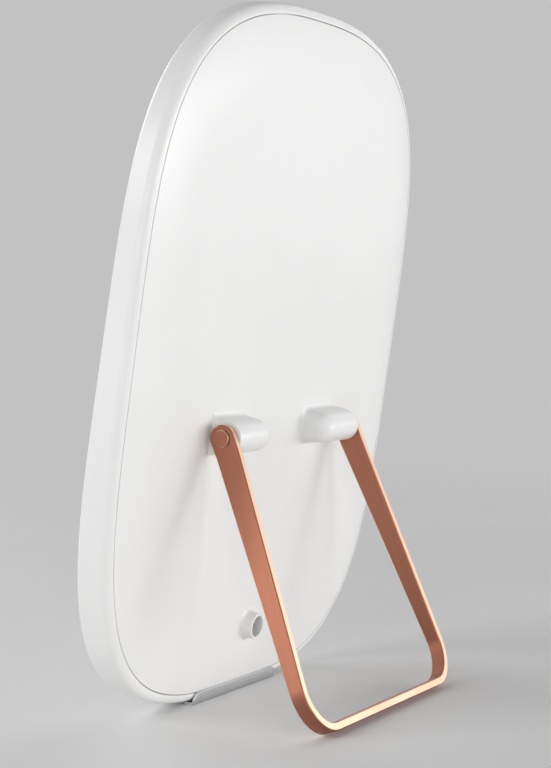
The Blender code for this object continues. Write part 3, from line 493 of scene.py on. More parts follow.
hole_profile = []
for c, s in quarter(3):
    hole_profile.append((FRONT + SMALL_ROUND * (1 - c), BUTTON_HOLE + SMALL_ROUND * (1 - s)))
hole_profile.append((bezel_back, BUTTON_HOLE))
hole = []
for depth, radius in hole_profile:
    points = circle("Y", (0, depth, BUTTON_HEIGHT), radius, 48)
    hole.append(housing.ring([front_turn @ Vector(point) for point in points]))
housing.bands(hole)
housing.flat([outside[-1], inside[0], hole[0]], 0, 2)
housing.flat([back_ring, inside[-1], hole[-1]], 0, 2)
front_housing = make_object("white_front_housing", housing, panel_place, [white_shell])

# %% [markdown]
# The foot is let into the bottom of the housing, so a shallow notch is cut there to make room for it.

# %% Notch for the foot
foot_low, foot_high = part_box("foot")
FOOT_BASE = 1.2 * MM
NOTCH_BELOW = 2 * MM
NOTCH_BEHIND = 3 * MM

x = foot_high.x + SEAT_GAP
low, high = foot_low.y - SEAT_GAP, foot_high.y + NOTCH_BEHIND
notch = Skin()
for z in (-NOTCH_BELOW, FOOT_BASE + SEAT_GAP):
    notch.ring([(-x, low, z), (x, low, z), (x, high, z), (-x, high, z)])
notch.bands([[0, 1, 2, 3], [4, 5, 6, 7]])
notch.face((3, 2, 1, 0))
notch.face((4, 5, 6, 7))
cut_away(front_housing, make_object("foot_notch", notch, Matrix.Identity(4), [white_shell]))
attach(front_housing, "panel")
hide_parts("front_housing")

# %% [markdown]
# ## Rear cover
# The cover swells softly from the parting line to a flat middle. Everything on it is moulded in one
# piece: two pivot bosses and the collar of the power inlet. Seen from its end, a boss is shaped like
# a bullet. It grows out of the cover in a hollow fillet, rises as a nearly flat flank and closes in a
# half-round barrel whose inner end is rounded too. The outer end is flat, because the stand turns
# against it.

# %% A boss, ring by ring
PIVOT_HEIGHT = 139.3 * MM
PIVOT_SETBACK = 11.8 * MM
BOSS_RADIUS = 8.2 * MM
BOSS_OUTER = 65.0 * MM
BOSS_LENGTH = 34.8 * MM
BOSS_FILLET = 2.2 * MM
BOSS_DRAFT = 0.6 * MM
BOSS_TAPER_SHARE = 0.04
BOSS_CORNER_ROUND = 6.0 * MM
BOSS_END_ROUND = 8.0 * MM
BOSS_EDGE_ROUND = 0.4 * MM
END_FILLET = 1.0 * MM
END_FILLET_STEPS = 6
FILLET_STEPS = 12
BARREL_STEPS = 18
CORNER_STEPS = 9
FLANK_SHARES = (0.15, 0.85)


def boss_chain(side, level, half_height, inner, normal, grow=0.0):
    """An open chain round a boss at one level, from its lower outer corner to its upper one.

    The edge of the flat end is rounded against the normal, and grow moves that end outwards.
    """
    radius = min(BOSS_CORNER_ROUND, half_height)
    edge = min(BOSS_EDGE_ROUND, (level - COVER_SWELL) / 2)
    half = []
    for c, s in quarter(3):
        sink = edge * (1 - s)
        x = BOSS_OUTER - edge * (1 - c) + grow
        half.append((x, half_height - sink * normal[1], level - sink * normal[0]))
    half.append((BOSS_OUTER - BOSS_LENGTH / 3, half_height, level))
    for c, s in quarter(CORNER_STEPS):
        half.append((inner + radius * (1 - s), half_height - radius * (1 - c), level))
    chain = []
    for x, z, y in [(x, -z, y) for x, z, y in half] + half[::-1]:
        slim = 1 - BOSS_TAPER_SHARE * (BOSS_OUTER - x) / BOSS_LENGTH
        past_axis = max(y - PIVOT_SETBACK, 0)
        chain.append((side * x, y - past_axis * (1 - slim), PIVOT_HEIGHT + slim * z))
    return chain


def hollow(radius, rise):
    """How far a hollow fillet still reaches out at a rise above its foot."""
    short = max(radius - rise, 0)
    return radius - math.sqrt(radius ** 2 - short ** 2)


def boss_chains(side):
    inner_face = BOSS_OUTER - BOSS_LENGTH
    foot_height = BOSS_RADIUS + BOSS_DRAFT
    rises = [END_FILLET * (1 - c) for c, _ in quarter(END_FILLET_STEPS)]
    upper = [BOSS_FILLET * (1 - c) for c, _ in quarter(FILLET_STEPS)]
    rises += [rise for rise in upper if rise > END_FILLET]
    chains = []
    for rise in rises:
        spread, grow = hollow(BOSS_FILLET, rise), hollow(END_FILLET, rise)
        normal = (1 - rise / BOSS_FILLET, 1 - spread / BOSS_FILLET)
        level = COVER_SWELL + rise
        chains.append(boss_chain(side, level, foot_height + spread, inner_face - spread, normal, grow))
    fillet_top = COVER_SWELL + BOSS_FILLET
    for share in FLANK_SHARES:
        level = fillet_top + (PIVOT_SETBACK - fillet_top) * share
        chains.append(boss_chain(side, level, foot_height - BOSS_DRAFT * share, inner_face, (0, 1)))
    for c, s in list(quarter(BARREL_STEPS))[:-1]:
        back = BOSS_END_ROUND * (1 - c)
        level = PIVOT_SETBACK + BOSS_RADIUS * s
        chains.append(boss_chain(side, level, BOSS_RADIUS * c, inner_face + back, (s, c)))
    return chains


# %% [markdown]
# The whole cover is one skin. Its first rings run out under the plate, across the edge and up the
# swell.

# %% The cover's edge
PARTING_GAP = 0.5 * MM
COVER_EASE = 0.20 * HALF_WIDTH
COVER_EASE_DROP = 8.0 * MM
SWELL_STEPS = 16
UNDER_STEPS = 6

cover_edge = REAR_EDGE_ROUND + PARTING_GAP


def swell_ring(share, sink=0.0):
    """A ring of the cover at a share of the way from the parting line to the flat middle."""
    inset = cover_edge + SMALL_ROUND + COVER_EASE * share
    level = COVER_SWELL * (1 - (1 - share) ** 2) - sink
    return outline(inset, level, centre=HALF_HEIGHT - COVER_EASE_DROP * share)


cover = Skin()
edge_rings = [swell_ring(1 - step / UNDER_STEPS, COVER_WALL) for step in range(UNDER_STEPS + 1)]
edge_rings.append(outline(cover_edge, -COVER_WALL))
for c, s in quarter(3):
    edge_rings.append(outline(cover_edge + SMALL_ROUND * (1 - c), -SMALL_ROUND * (1 - s)))
edge_rings += [swell_ring(step / SWELL_STEPS) for step in range(1, SWELL_STEPS + 1)]
edge_rings = [cover.ring(ring) for ring in edge_rings]
cover.bands(edge_rings)
print("rings round the cover:", len(edge_rings))

# %% [markdown]
# Both bosses join it. The flat outer end carries a stepped bore: a shallow seat for the friction
# washer and a narrower hole for the brass insert.

# %% Bosses on the cover
WASHER_SEAT_RADIUS = 5.8 * MM
WASHER_SEAT_DEPTH = 1.1 * MM
INSERT_BORE = 3.8 * MM
INSERT_BORE_END = 48.3 * MM

plate_loops = [edge_rings[-1]]
for side in (-1, 1):
    chains = boss_chains(side)
    inner_face = BOSS_OUTER - BOSS_LENGTH - BOSS_FILLET - SUPPORT
    foot_height = BOSS_RADIUS + BOSS_DRAFT + BOSS_FILLET + SUPPORT
    grow = END_FILLET + SUPPORT
    support = cover.ring(boss_chain(side, COVER_SWELL, foot_height, inner_face, (1, 0), grow))
    rings = [cover.ring(chain) for chain in chains]
    low, rings = rings[: END_FILLET_STEPS + 1], rings[END_FILLET_STEPS:]
    cover.bands([support] + low)
    cover.bands(rings, closed=False)
    # The two halves of the last chain lie close together, and joining them closes the crest.
    last = rings[-1]
    for step in range(len(last) // 2 - 1):
        cover.face((last[step], last[step + 1], last[-step - 2], last[-step - 1]))
    end_loop = [ring[0] for ring in rings] + [ring[-1] for ring in reversed(rings)]
    bore = [
        (side * BOSS_OUTER, WASHER_SEAT_RADIUS),
        (side * (BOSS_OUTER - WASHER_SEAT_DEPTH), WASHER_SEAT_RADIUS),
        (side * (BOSS_OUTER - WASHER_SEAT_DEPTH), INSERT_BORE),
        (side * INSERT_BORE_END, INSERT_BORE),
    ]
    bore_rings = turned(cover, "X", (0, PIVOT_SETBACK, PIVOT_HEIGHT), bore, 48)
    cover.flat([end_loop, bore_rings[0]], 1, 2)
    cover.face(bore_rings[-1])
    plate_loops.append(support)
print("loops of the plate so far:", len(plate_loops))

# %% [markdown]
# The collar is turned. The plate is then filled in round it and both bosses, in front and behind.

# %% Collar and plate
COLLAR_RADIUS = 6.9 * MM
COLLAR_FILLET = 2.0 * MM
COLLAR_DRAFT = 0.2 * MM
RIM_ROUND = 0.5 * MM
RECESS_RADIUS = 5.4 * MM
JACK_HOLE = 4.3 * MM

collar = [(COVER_SWELL, COLLAR_RADIUS + COLLAR_FILLET + SUPPORT)]
for c, s in quarter(10):
    collar.append((COVER_SWELL + COLLAR_FILLET * (1 - c), COLLAR_RADIUS + COLLAR_FILLET * (1 - s)))
top_radius = COLLAR_RADIUS - COLLAR_DRAFT
for c, s in quarter(5):
    collar.append((COLLAR_TOP - RIM_ROUND * (1 - s), top_radius - RIM_ROUND * (1 - c)))
for c, s in quarter(3):
    collar.append((COLLAR_TOP - SMALL_ROUND * (1 - c), RECESS_RADIUS + SMALL_ROUND * (1 - s)))
collar += [
    (COVER_SWELL, RECESS_RADIUS),
    (COVER_SWELL, JACK_HOLE),
    (COVER_SWELL - COVER_WALL, JACK_HOLE),
]
collar_rings = turned(cover, "Y", (0, 0, JACK_HEIGHT), collar, 72)
plate_loops.append(collar_rings[0])
cover.flat(plate_loops, 0, 2)
cover.flat([edge_rings[0], collar_rings[-1]], 0, 2)
rear_cover = make_object("white_rear_cover", cover, panel_place, [white_shell])
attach(rear_cover, "panel")
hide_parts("rear_cover")

# %% [markdown]
# ## The stand
# The stand is one strip of aluminium, bent to a U that is wider at the bottom. Its ends are round
# eyes on the pivots, and the strip narrows towards the bottom bar. It is drawn along its own path: at
# each station there is a small section whose four corners are cut off.

# %% The stand's path
STRIP_THICKNESS = 4.0 * MM
STRIP_INNER = 65.3 * MM
STRIP_OUTER = STRIP_INNER + STRIP_THICKNESS
STRIP_TOP_WIDTH = 13.2 * MM
STRIP_BAR_WIDTH = 7.7 * MM
STAND_BOTTOM_WIDTH = 168.8 * MM
EYE_STRAIGHT = 8.6 * MM
EYE_BEND_RADIUS = 30 * MM
STAND_CORNER_RADIUS = 21.6 * MM
LEG_LEAN = math.radians(23.47)
BEND_STEPS = (6, 28)

pivot = Vector(joints["stand_hinge"]["pos_m"])
stand_place = Matrix.Translation(pivot) @ Matrix.Rotation(LEG_LEAN, 4, "X")
leg_length = (pivot.z - STRIP_BAR_WIDTH / 2 * math.sin(LEG_LEAN)) / math.cos(LEG_LEAN)


def filleted(corners, radii, steps):
    """A path of (point, direction) pairs through (x, z) corners, with an arc in each corner."""
    corners = [Vector(corner) for corner in corners]
    path = [(corners[0], (corners[1] - corners[0]).normalized())]
    for before, corner, after, radius, count in zip(corners, corners[1:], corners[2:], radii, steps):
        arriving, leaving = (corner - before).normalized(), (after - corner).normalized()
        turn = arriving.angle_signed(leaving)
        start = corner - radius * math.tan(abs(turn) / 2) * arriving
        side = Vector((-arriving.y, arriving.x)) * (-1 if turn > 0 else 1)
        centre = start + radius * side
        for step in range(count + 1):
            spin = Matrix.Rotation(-turn * step / count, 2)
            path.append((centre - radius * (spin @ side), spin @ arriving))
    path.append((corners[-1], (corners[-1] - corners[-2]).normalized()))
    return path


corners = [
    (STRIP_OUTER, 0),
    (STRIP_OUTER, -EYE_STRAIGHT),
    (STAND_BOTTOM_WIDTH / 2, -leg_length),
    (0, -leg_length),
]
half_path = filleted(corners, (EYE_BEND_RADIUS, STAND_CORNER_RADIUS), BEND_STEPS)
print("leg", round(leg_length / MM, 2), "mm long,", len(half_path), "stations on half the path")

# %% [markdown]
# The strip is round over the pivot and narrows evenly below it. A slanting cut runs along all four
# corners, on the eye's round top as well. The narrow sides and the front cuts are made after
# anodising, so they have the paler finish. The rear cuts are older and stay copper.

# %% The stand's sections
EDGE_CUT = 0.45 * MM
EYE_STEPS = 28


def leg_half_width(z):
    share = min(-z / (leg_length - STAND_CORNER_RADIUS), 1)
    return (STRIP_TOP_WIDTH + (STRIP_BAR_WIDTH - STRIP_TOP_WIDTH) * share) / 2


def section(edge, cut, direction):
    """Eight corners: (outer point, half width) at the full edge and at the cut-in edge."""
    inward = Vector((direction.y, -direction.x))
    depths = (0, EDGE_CUT, STRIP_THICKNESS - EDGE_CUT, STRIP_THICKNESS)
    rows = []
    for (point, half), depth in zip((cut, edge, edge, cut), depths):
        rows.append((point + depth * inward, half))
    front = [(at.x, -half, at.y) for at, half in rows]
    rear = [(at.x, half, at.y) for at, half in rows]
    return front[::-1] + rear


sections = []
for step in range(EYE_STEPS):
    turn = math.pi / 2 * (1 - step / EYE_STEPS)
    pair = []
    for radius in (STRIP_TOP_WIDTH / 2, STRIP_TOP_WIDTH / 2 - EDGE_CUT):
        pair.append((Vector((STRIP_OUTER, radius * math.sin(turn))), radius * math.cos(turn)))
    sections.append(section(*pair, Vector((0, -1))))
for point, direction in half_path[:-1]:
    half = leg_half_width(point.y)
    sections.append(section((point, half), (point, half - EDGE_CUT), direction))
mirrored = [[(-x, y, z) for x, y, z in ring] for ring in reversed(sections)]

strip = Skin()
strip_rings = [strip.ring(ring) for ring in sections + mirrored]
BRUSHED, CUT = 0, 1
side_finish = (CUT, CUT, CUT, BRUSHED, BRUSHED, CUT, BRUSHED, BRUSHED)
for low, high in zip(strip_rings, strip_rings[1:]):
    for step in range(8):
        after = (step + 1) % 8
        strip.face((low[step], low[after], high[after], high[step]), side_finish[step])
stand = make_object("copper_stand", strip, stand_place, [copper_brushed, copper_edge])

# %% [markdown]
# Each eye has a stepped hole: the bolt's head sits in the wide part, with a thin dark ring round it.
# The holes are cut out of the finished strip.

# %% Holes in the eyes
EYE_HOLE = 2.8 * MM
HEAD_SEAT = 4.5 * MM
SEAT_FLOOR = 67.7 * MM
TOOL_START = STRIP_INNER - 2 * MM
TOOL_END = STRIP_OUTER + 1 * MM

for side in (-1, 1):
    tool = Skin()
    profile = [
        (side * TOOL_START, EYE_HOLE),
        (side * SEAT_FLOOR, EYE_HOLE),
        (side * SEAT_FLOOR, HEAD_SEAT),
        (side * TOOL_END, HEAD_SEAT),
    ]
    turned(tool, "X", (0, 0, 0), profile, finish=CUT, ends=CUT)
    cut_away(stand, make_object("eye_tool", tool, stand_place, [copper_brushed, copper_edge]))

# %% [markdown]
# Now the map: every corner of every face gets its place along the path and across the strip. A share
# of the sideways distance is added to the second, so the narrow sides have lines too.

# %% Map for the brushing
SIDEWAYS_SHARE = 0.31
NO_LENGTH = 1e-18

path_start = (STRIP_OUTER, STRIP_TOP_WIDTH / 2)
path_points = np.array([path_start] + [tuple(point) for point, _ in half_path])
path_length = np.concatenate(([0], np.cumsum(np.hypot(*np.diff(path_points, axis=0).T))))
print("half the path:", round(path_length[-1] / MM, 1), "mm")


def place_along(x, z):
    """Distance along the half path of the nearest point on it."""
    here = np.array((x, z))
    starts, steps = path_points[:-1], np.diff(path_points, axis=0)
    size = np.maximum((steps ** 2).sum(1), NO_LENGTH)
    share = np.clip(((here - starts) * steps).sum(1) / size, 0, 1)
    gaps = np.hypot(*(starts + share[:, None] * steps - here).T)
    nearest = int(gaps.argmin())
    return float(path_length[nearest] + share[nearest] * np.sqrt(size[nearest]))


def lay_map(item, place):
    """Writes the map on a piece; the place is that of the strip's axes."""
    mesh = item.data
    to_strip = place.inverted()
    flat = []
    for vertex in mesh.vertices:
        x, y, z = to_strip @ vertex.co
        flat.append((math.copysign(place_along(abs(x), z), x), y + abs(x) * SIDEWAYS_SHARE))
    layer = mesh.uv_layers.new(name="strip_map") if not mesh.uv_layers else mesh.uv_layers[0]
    for loop in mesh.loops:
        layer.data[loop.index].uv = flat[loop.vertex_index]


lay_map(stand, stand_place)
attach(stand, "stand")
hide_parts("stand")

# %% [markdown]
# ## Pivot bolts
# Each bolt is turned: a flat head with a small cut edge, a shoulder that the stand turns on, and a
# plain length in place of the thread, which nobody sees. The head stands one millimetre proud.

# %% Pivot bolts
HEAD_RADIUS = 4.2 * MM
HEAD_OUTER = STRIP_OUTER + 1.0 * MM
HEAD_INNER = HEAD_OUTER - 1.6 * MM
HEAD_CUT = 0.3 * MM
SHANK_RADIUS = 2.0 * MM
SHANK_END = 52.6 * MM
SHOULDER_RADIUS = 2.5 * MM
SHOULDER_END = 63.9 * MM

bolt_place = panel_place @ Matrix.Translation((0, PIVOT_SETBACK, PIVOT_HEIGHT))

for side, hand in ((-1, "left"), (1, "right")):
    bolt = Skin()
    profile = [
        (SHANK_END, SHANK_RADIUS),
        (SHOULDER_END, SHANK_RADIUS),
        (SHOULDER_END, SHOULDER_RADIUS),
        (HEAD_INNER, SHOULDER_RADIUS),
        (HEAD_INNER, HEAD_RADIUS),
        (HEAD_OUTER - HEAD_CUT, HEAD_RADIUS),
        (HEAD_OUTER, HEAD_RADIUS - HEAD_CUT),
    ]
    profile = [(side * along, radius) for along, radius in profile]
    turned(bolt, "X", (0, 0, 0), profile, finish=CUT, ends=BRUSHED)
    cap = make_object(f"copper_bolt_{hand}", bolt, bolt_place, [copper_brushed, copper_edge])
    lay_map(cap, stand_place)
    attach(cap, "panel")
    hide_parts(f"pivot_bolt_{hand}")

# %% [markdown]
# ## The foot
# Under the panel lies an L-shaped strip of aluminium. Its base is flat on the table and its lip lies
# on the cover, over the parting line. The lip's ends curve down to the base.

# %% Foot
PANEL_LEAN = math.asin(-mounts["dc_inlet_rim"]["axis"][2])
LIP_THICKNESS = 1.1 * MM
LIP_HEIGHT = foot_high.z
LIP_END = 0.2 * MM
LIP_END_ROUND = 4.2 * MM
BASE_EDGE_ROUND = 0.8 * MM
LIP_EDGE_ROUND = 0.5 * MM

slope = math.tan(PANEL_LEAN)
thick = LIP_THICKNESS / math.cos(PANEL_LEAN)
half_row = []
for c, s in quarter(16):
    lip = LIP_END + (LIP_HEIGHT - FOOT_BASE - LIP_END) * s
    half_row.append((foot_high.x - LIP_END_ROUND * (1 - c), lip, BASE_EDGE_ROUND * (1 - s) ** 2))
row = [(-x, lip, shy) for x, lip, shy in half_row] + half_row[::-1]
foot_skin = Skin()
foot_rings = []
back = -foot_low.y
for x, lip, shy in row:
    top = FOOT_BASE + lip
    edge = min(LIP_EDGE_ROUND, lip / 2)
    profile = [
        (-back + shy, 0),
        (-back + shy, FOOT_BASE),
        (back + slope * FOOT_BASE - thick, FOOT_BASE),
        (back + slope * top - thick, top),
    ]
    for c, s in quarter(3):
        drop = edge * (1 - c)
        profile.append((back + slope * (top - drop) - edge * (1 - s) - shy, top - drop))
    for c, s in quarter(4):
        rise = BASE_EDGE_ROUND * (1 - s)
        profile.append((back + slope * rise - BASE_EDGE_ROUND * (1 - c) - shy, rise))
    foot_rings.append(foot_skin.ring([(x, y, z) for y, z in profile]))
foot_skin.bands(foot_rings)
foot_skin.face(foot_rings[0])
foot_skin.face(foot_rings[-1])
foot = make_object("silver_foot_strip", foot_skin, Matrix.Identity(4), [silver_foot])
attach(foot, "panel")
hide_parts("foot")

# %% [markdown]
# ## Window, button and inlet
# The window is a sheet of opal plastic behind the bezel, a few tenths of a millimetre under its face.
# Opal plastic is milky all the way through, so its shader lets a little light travel under the skin.

# %% Opal plastic
opal = new_finish("opal", 0.42, Subsurface_Weight=0.25, Subsurface_Scale=4 * MM)
colour_between(opal, grain(opal, 20, 3), (0.82, 0.82, 0.815), (0.835, 0.835, 0.83))
relief(opal, grain(opal, 3200, 2), 0.08, 0.02 * MM)

# %% [markdown]
# The sheet has a wide rim that rests behind the bezel, so it is put in from behind and can't fall
# out. A small gap runs round it, and its edge is rounded.

# %% Window
RUNNING_GAP = 0.3 * MM
DIFFUSER_RECESS = 0.4 * MM
DIFFUSER_RIM = 1.2 * MM
DIFFUSER_OVERLAP = 2.0 * MM
PANE_ROUND = 0.4 * MM

plateau = FRONT + DIFFUSER_RECESS
rim_front = bezel_back + SEAT_GAP
pane = Skin()
pane_rings = [outline(RUNNING_GAP + PANE_ROUND + SUPPORT, plateau, **window_size)]
for c, s in quarter(4):
    inset, depth = RUNNING_GAP + PANE_ROUND * (1 - s), plateau + PANE_ROUND * (1 - c)
    pane_rings.append(outline(inset, depth, **window_size))
pane_rings.append(outline(RUNNING_GAP, rim_front, **window_size))
for depth in (rim_front, rim_front + DIFFUSER_RIM):
    pane_rings.append(outline(-DIFFUSER_OVERLAP, depth, **window_size))
pane_rings = [pane.ring(ring) for ring in pane_rings]
pane.bands(pane_rings)
pane.flat([pane_rings[0]], 0, 2)
pane.flat([pane_rings[-1]], 0, 2)
window = make_object("opal_window", pane, panel_place, [opal])
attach(window, "panel")
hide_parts("diffuser")

# %% [markdown]
# The power button is a small cap of grey plastic with a fine grain, so fingers don't mark it.

# %% Grey plastic
button_grey = new_finish("button_grey", 0.38)
colour_between(button_grey, grain(button_grey, 90, 2), (0.36, 0.36, 0.38), (0.40, 0.40, 0.42))
relief(button_grey, grain(button_grey, 3600, 2), 0.10, 0.015 * MM)

# %% [markdown]
# The cap is a turned shape. Its flange stays behind the bezel, and its face is dished. A dish is a
# shallow part of a sphere, so it rises with the square of the radius.

# %% Power button
BUTTON_RADIUS = 4.5 * MM
BUTTON_PROUD = 0.4 * MM
BUTTON_EDGE = 0.5 * MM
BUTTON_DISH = 0.3 * MM
BUTTON_FLANGE_RADIUS = 5.5 * MM
BUTTON_FLANGE_THICKNESS = 0.8 * MM
DISH_STEPS = 12

face_radius = BUTTON_RADIUS - BUTTON_EDGE
face_depth = FRONT - BUTTON_PROUD
profile = [
    (rim_front + BUTTON_FLANGE_THICKNESS, BUTTON_FLANGE_RADIUS),
    (rim_front, BUTTON_FLANGE_RADIUS),
    (rim_front, BUTTON_RADIUS),
]
profile += [(face_depth + BUTTON_EDGE * (1 - s), face_radius + BUTTON_EDGE * c) for c, s in quarter(6)]
for step in range(1, DISH_STEPS):
    share = 1 - step / DISH_STEPS
    profile.append((face_depth + BUTTON_DISH * (1 - share ** 2), face_radius * share))
button = Skin()
turned(button, "Y", (0, 0, BUTTON_HEIGHT), profile, ends=0)
power_button = make_object("grey_power_button", button, front_place, [button_grey])
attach(power_button, "power_button")
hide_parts("power_button")

# %% [markdown]
# Deep in the collar sits the inlet: a black plastic barrel with a bright pin in its bore. The steel
# is used again for the screws inside.

# %% Black plastic and bright steel
black_plastic = new_finish("black_plastic", 0.40)
colour_between(black_plastic, grain(black_plastic, 120, 2), (0.018, 0.018, 0.02), (0.03, 0.03, 0.032))
relief(black_plastic, grain(black_plastic, 3000, 2), 0.12, 0.02 * MM)

steel = new_finish("steel", 0.34, metallic=1.0)
colour_between(steel, grain(steel, 300, 3), (0.56, 0.56, 0.57), (0.66, 0.66, 0.67))
roughness_between(steel, grain(steel, 900, 2), 0.28, 0.40)

# %% [markdown]
# The barrel is one turned shape whose profile runs round the outside, over the tip and back through
# the bore. The pin has a rounded tip, so that a plug finds its way.

# %% Inlet barrel and pin
BARREL_RADIUS = 4.0 * MM
BARREL_TIP = COVER_SWELL + 1.4 * MM
BARREL_BORE = 2.85 * MM
JACK_FLANGE_RADIUS = 5.2 * MM
JACK_FLANGE = 1.0 * MM
JACK_REAR_RADIUS = 4.5 * MM
JACK_REAR = 5.0 * MM
JACK_BACK_WALL = 1.2 * MM
PIN_HOLE = 1.3 * MM
PIN_RADIUS = 1.0 * MM
PIN_TIP_ROUND = 0.5 * MM
PIN_BELOW_TIP = 0.7 * MM
PIN_PAST_BACK = 0.3 * MM
BARREL_EDGE = 0.2 * MM

jack_front = COVER_SWELL - COVER_WALL - SEAT_GAP
jack_back = jack_front - JACK_FLANGE - JACK_REAR
profile = [
    (jack_back, PIN_HOLE),
    (jack_back, JACK_REAR_RADIUS),
    (jack_front - JACK_FLANGE, JACK_REAR_RADIUS),
    (jack_front - JACK_FLANGE, JACK_FLANGE_RADIUS),
    (jack_front, JACK_FLANGE_RADIUS),
    (jack_front, BARREL_RADIUS),
    (BARREL_TIP - BARREL_EDGE, BARREL_RADIUS),
    (BARREL_TIP, BARREL_RADIUS - BARREL_EDGE),
    (BARREL_TIP, BARREL_BORE + BARREL_EDGE),
    (BARREL_TIP - BARREL_EDGE, BARREL_BORE),
    (jack_back + JACK_BACK_WALL, BARREL_BORE),
    (jack_back + JACK_BACK_WALL, PIN_HOLE),
    (jack_back, PIN_HOLE),
]
jack_at = (0, 0, JACK_HEIGHT)
barrel = Skin()
turned(barrel, "Y", jack_at, profile, 48)
inlet_barrel = make_object("black_inlet_barrel", barrel, panel_place, [black_plastic])
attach(inlet_barrel, "panel")
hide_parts("dc_jack")

pin_tip = BARREL_TIP - PIN_BELOW_TIP
profile = [(jack_back - PIN_PAST_BACK, PIN_RADIUS)]
profile += [(pin_tip - PIN_TIP_ROUND * (1 - s), PIN_RADIUS / 2 * (1 + c)) for c, s in quarter(5)]
pin = Skin()
turned(pin, "Y", jack_at, profile, 24, ends=0)
inlet_pin = make_object("steel_inlet_pin", pin, panel_place, [steel])
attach(inlet_pin, "panel")
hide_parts("jack_pin")

# %% [markdown]
# ## What is inside
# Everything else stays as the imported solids, which is what these parts look like: screws, boards,
# sheets and wires. They only get their finishes. They show where the model is taken apart or cut.

# %% Finishes for the inside
INSIDE_FINISHES = {
    "clear_plastic": (0.06, 0.0, (30, 2), (0.90, 0.93, 0.95), (0.96, 0.97, 0.98)),
    "white_film": (0.6, 0.0, (50, 3), (0.84, 0.84, 0.84), (0.90, 0.90, 0.90)),
    "sheet_metal": (0.42, 1.0, (1, 3, (40, 900, 900)), (0.52, 0.53, 0.55), (0.64, 0.65, 0.66)),
    "led_board": (0.5, 0.0, (260, 2), (0.74, 0.73, 0.66), (0.84, 0.83, 0.78)),
    "green_board": (0.42, 0.0, (700, 3), (0.012, 0.13, 0.055), (0.025, 0.19, 0.085)),
    "ferrite": (0.6, 0.0, (1500, 3), (0.07, 0.07, 0.075), (0.13, 0.13, 0.135)),
    "brass": (0.34, 1.0, (1, 3, (60, 1800, 1800)), (0.66, 0.47, 0.19), (0.78, 0.58, 0.27)),
    "aluminium_can": (0.3, 1.0, (500, 2), (0.60, 0.60, 0.61), (0.70, 0.70, 0.71)),
    "red_wire": (0.45, 0.0, (400, 2), (0.42, 0.015, 0.015), (0.56, 0.03, 0.025)),
    "black_wire": (0.45, 0.0, (400, 2), (0.015, 0.015, 0.016), (0.03, 0.03, 0.032)),
    "white_wire": (0.45, 0.0, (400, 2), (0.70, 0.70, 0.68), (0.82, 0.82, 0.80)),
}
MORE_SOCKETS = {
    "clear_plastic": dict(Transmission_Weight=0.85, IOR=1.49),
    "green_board": dict(Coat_Weight=0.3),
}
for name, (roughness, metallic, noise, dark, light) in INSIDE_FINISHES.items():
    finish = new_finish(name, roughness, metallic, **MORE_SOCKETS.get(name, {}))
    colour_between(finish, grain(finish, *noise), dark, light)

# %% [markdown]
# Each solid's name says what it is made of, so a short table of name beginnings is enough.

# %% Hand out the finishes
SOLIDS_WITH_FINISH = {
    "clear_plastic": ("light_guide",),
    "white_film": ("reflector_sheet",),
    "sheet_metal": ("chassis_plate",),
    "led_board": ("led_board",),
    "green_board": ("control_board",),
    "ferrite": ("inductor",),
    "black_plastic": ("driver_chip", "tact_switch", "switch_plunger", "friction_washer"),
    "aluminium_can": ("capacitor",),
    "brass": ("pivot_insert",),
    "steel": ("chassis_screw", "board_screw", "spring_washer"),
    "red_wire": ("power_wire_red",),
    "black_wire": ("power_wire_black",),
    "white_wire": ("led_lead",),
}
left_plain = []
for name, item in frame["nodes"].items():
    if item.hide_render:
        continue
    found = [finish for finish, starts in SOLIDS_WITH_FINISH.items() if name.startswith(starts)]
    if found:
        item.data.materials.clear()
        item.data.materials.append(bpy.data.materials[found[0]])
    else:
        left_plain.append(name)
print("solids without a finish:", left_plain)

# %% [markdown]
# ## Floor, light and camera
# A big pale floor keeps the lamp's shadow. Further out it turns clear and fades into an equally pale
# background, so there is no hard horizon.

# %% Floor
FLOOR_RADII = (0.5, 1.5, 3.0)
FADE_START, FADE_END = 0.4, 1.5

floor_skin = Skin()
floor_rings = [floor_skin.ring(circle("Y", (0, 0, 0), radius, 96)) for radius in FLOOR_RADII]
floor_skin.bands(floor_rings)
floor_skin.face(floor_rings[0])
floor = make_object("floor", floor_skin, Matrix.Rotation(math.pi / 2, 4, "X"))

floor_paint = new_finish("floor_paint", 0.7)
colour_between(floor_paint, grain(floor_paint, 3, 2), (0.82, 0.82, 0.82), (0.86, 0.86, 0.86))
floor.data.materials.append(floor_paint)
shader = floor_paint.node_tree.nodes["Principled BSDF"]
output = floor_paint.node_tree.nodes["Material Output"]
coordinates = node(floor_paint, "TexCoord")
distance = node(floor_paint, "VectorMath")
distance.operation = "LENGTH"
fade = node(floor_paint, "MapRange", From_Min=FADE_START, From_Max=FADE_END)
fade.interpolation_type = "SMOOTHSTEP"
clear = node(floor_paint, "BsdfTransparent")
mix = node(floor_paint, "MixShader")
link(floor_paint, coordinates.outputs["Object"], distance.inputs[0])
link(floor_paint, distance.outputs["Value"], fade.inputs["Value"])
link(floor_paint, fade.outputs["Result"], mix.inputs["Fac"])
link(floor_paint, shader.outputs["BSDF"], mix.inputs[1])
link(floor_paint, clear.outputs["BSDF"], mix.inputs[2])
link(floor_paint, mix.outputs["Shader"], output.inputs["Surface"])

# %% [markdown]
# What is seen of the background, straight, in a reflection or through clear plastic, is paler than
# the light that it throws on the lamp. So it stays pale, and the lamps shape the light.

# %% Background
PALE = (0.54, 0.54, 0.54)
AMBIENT = 0.16

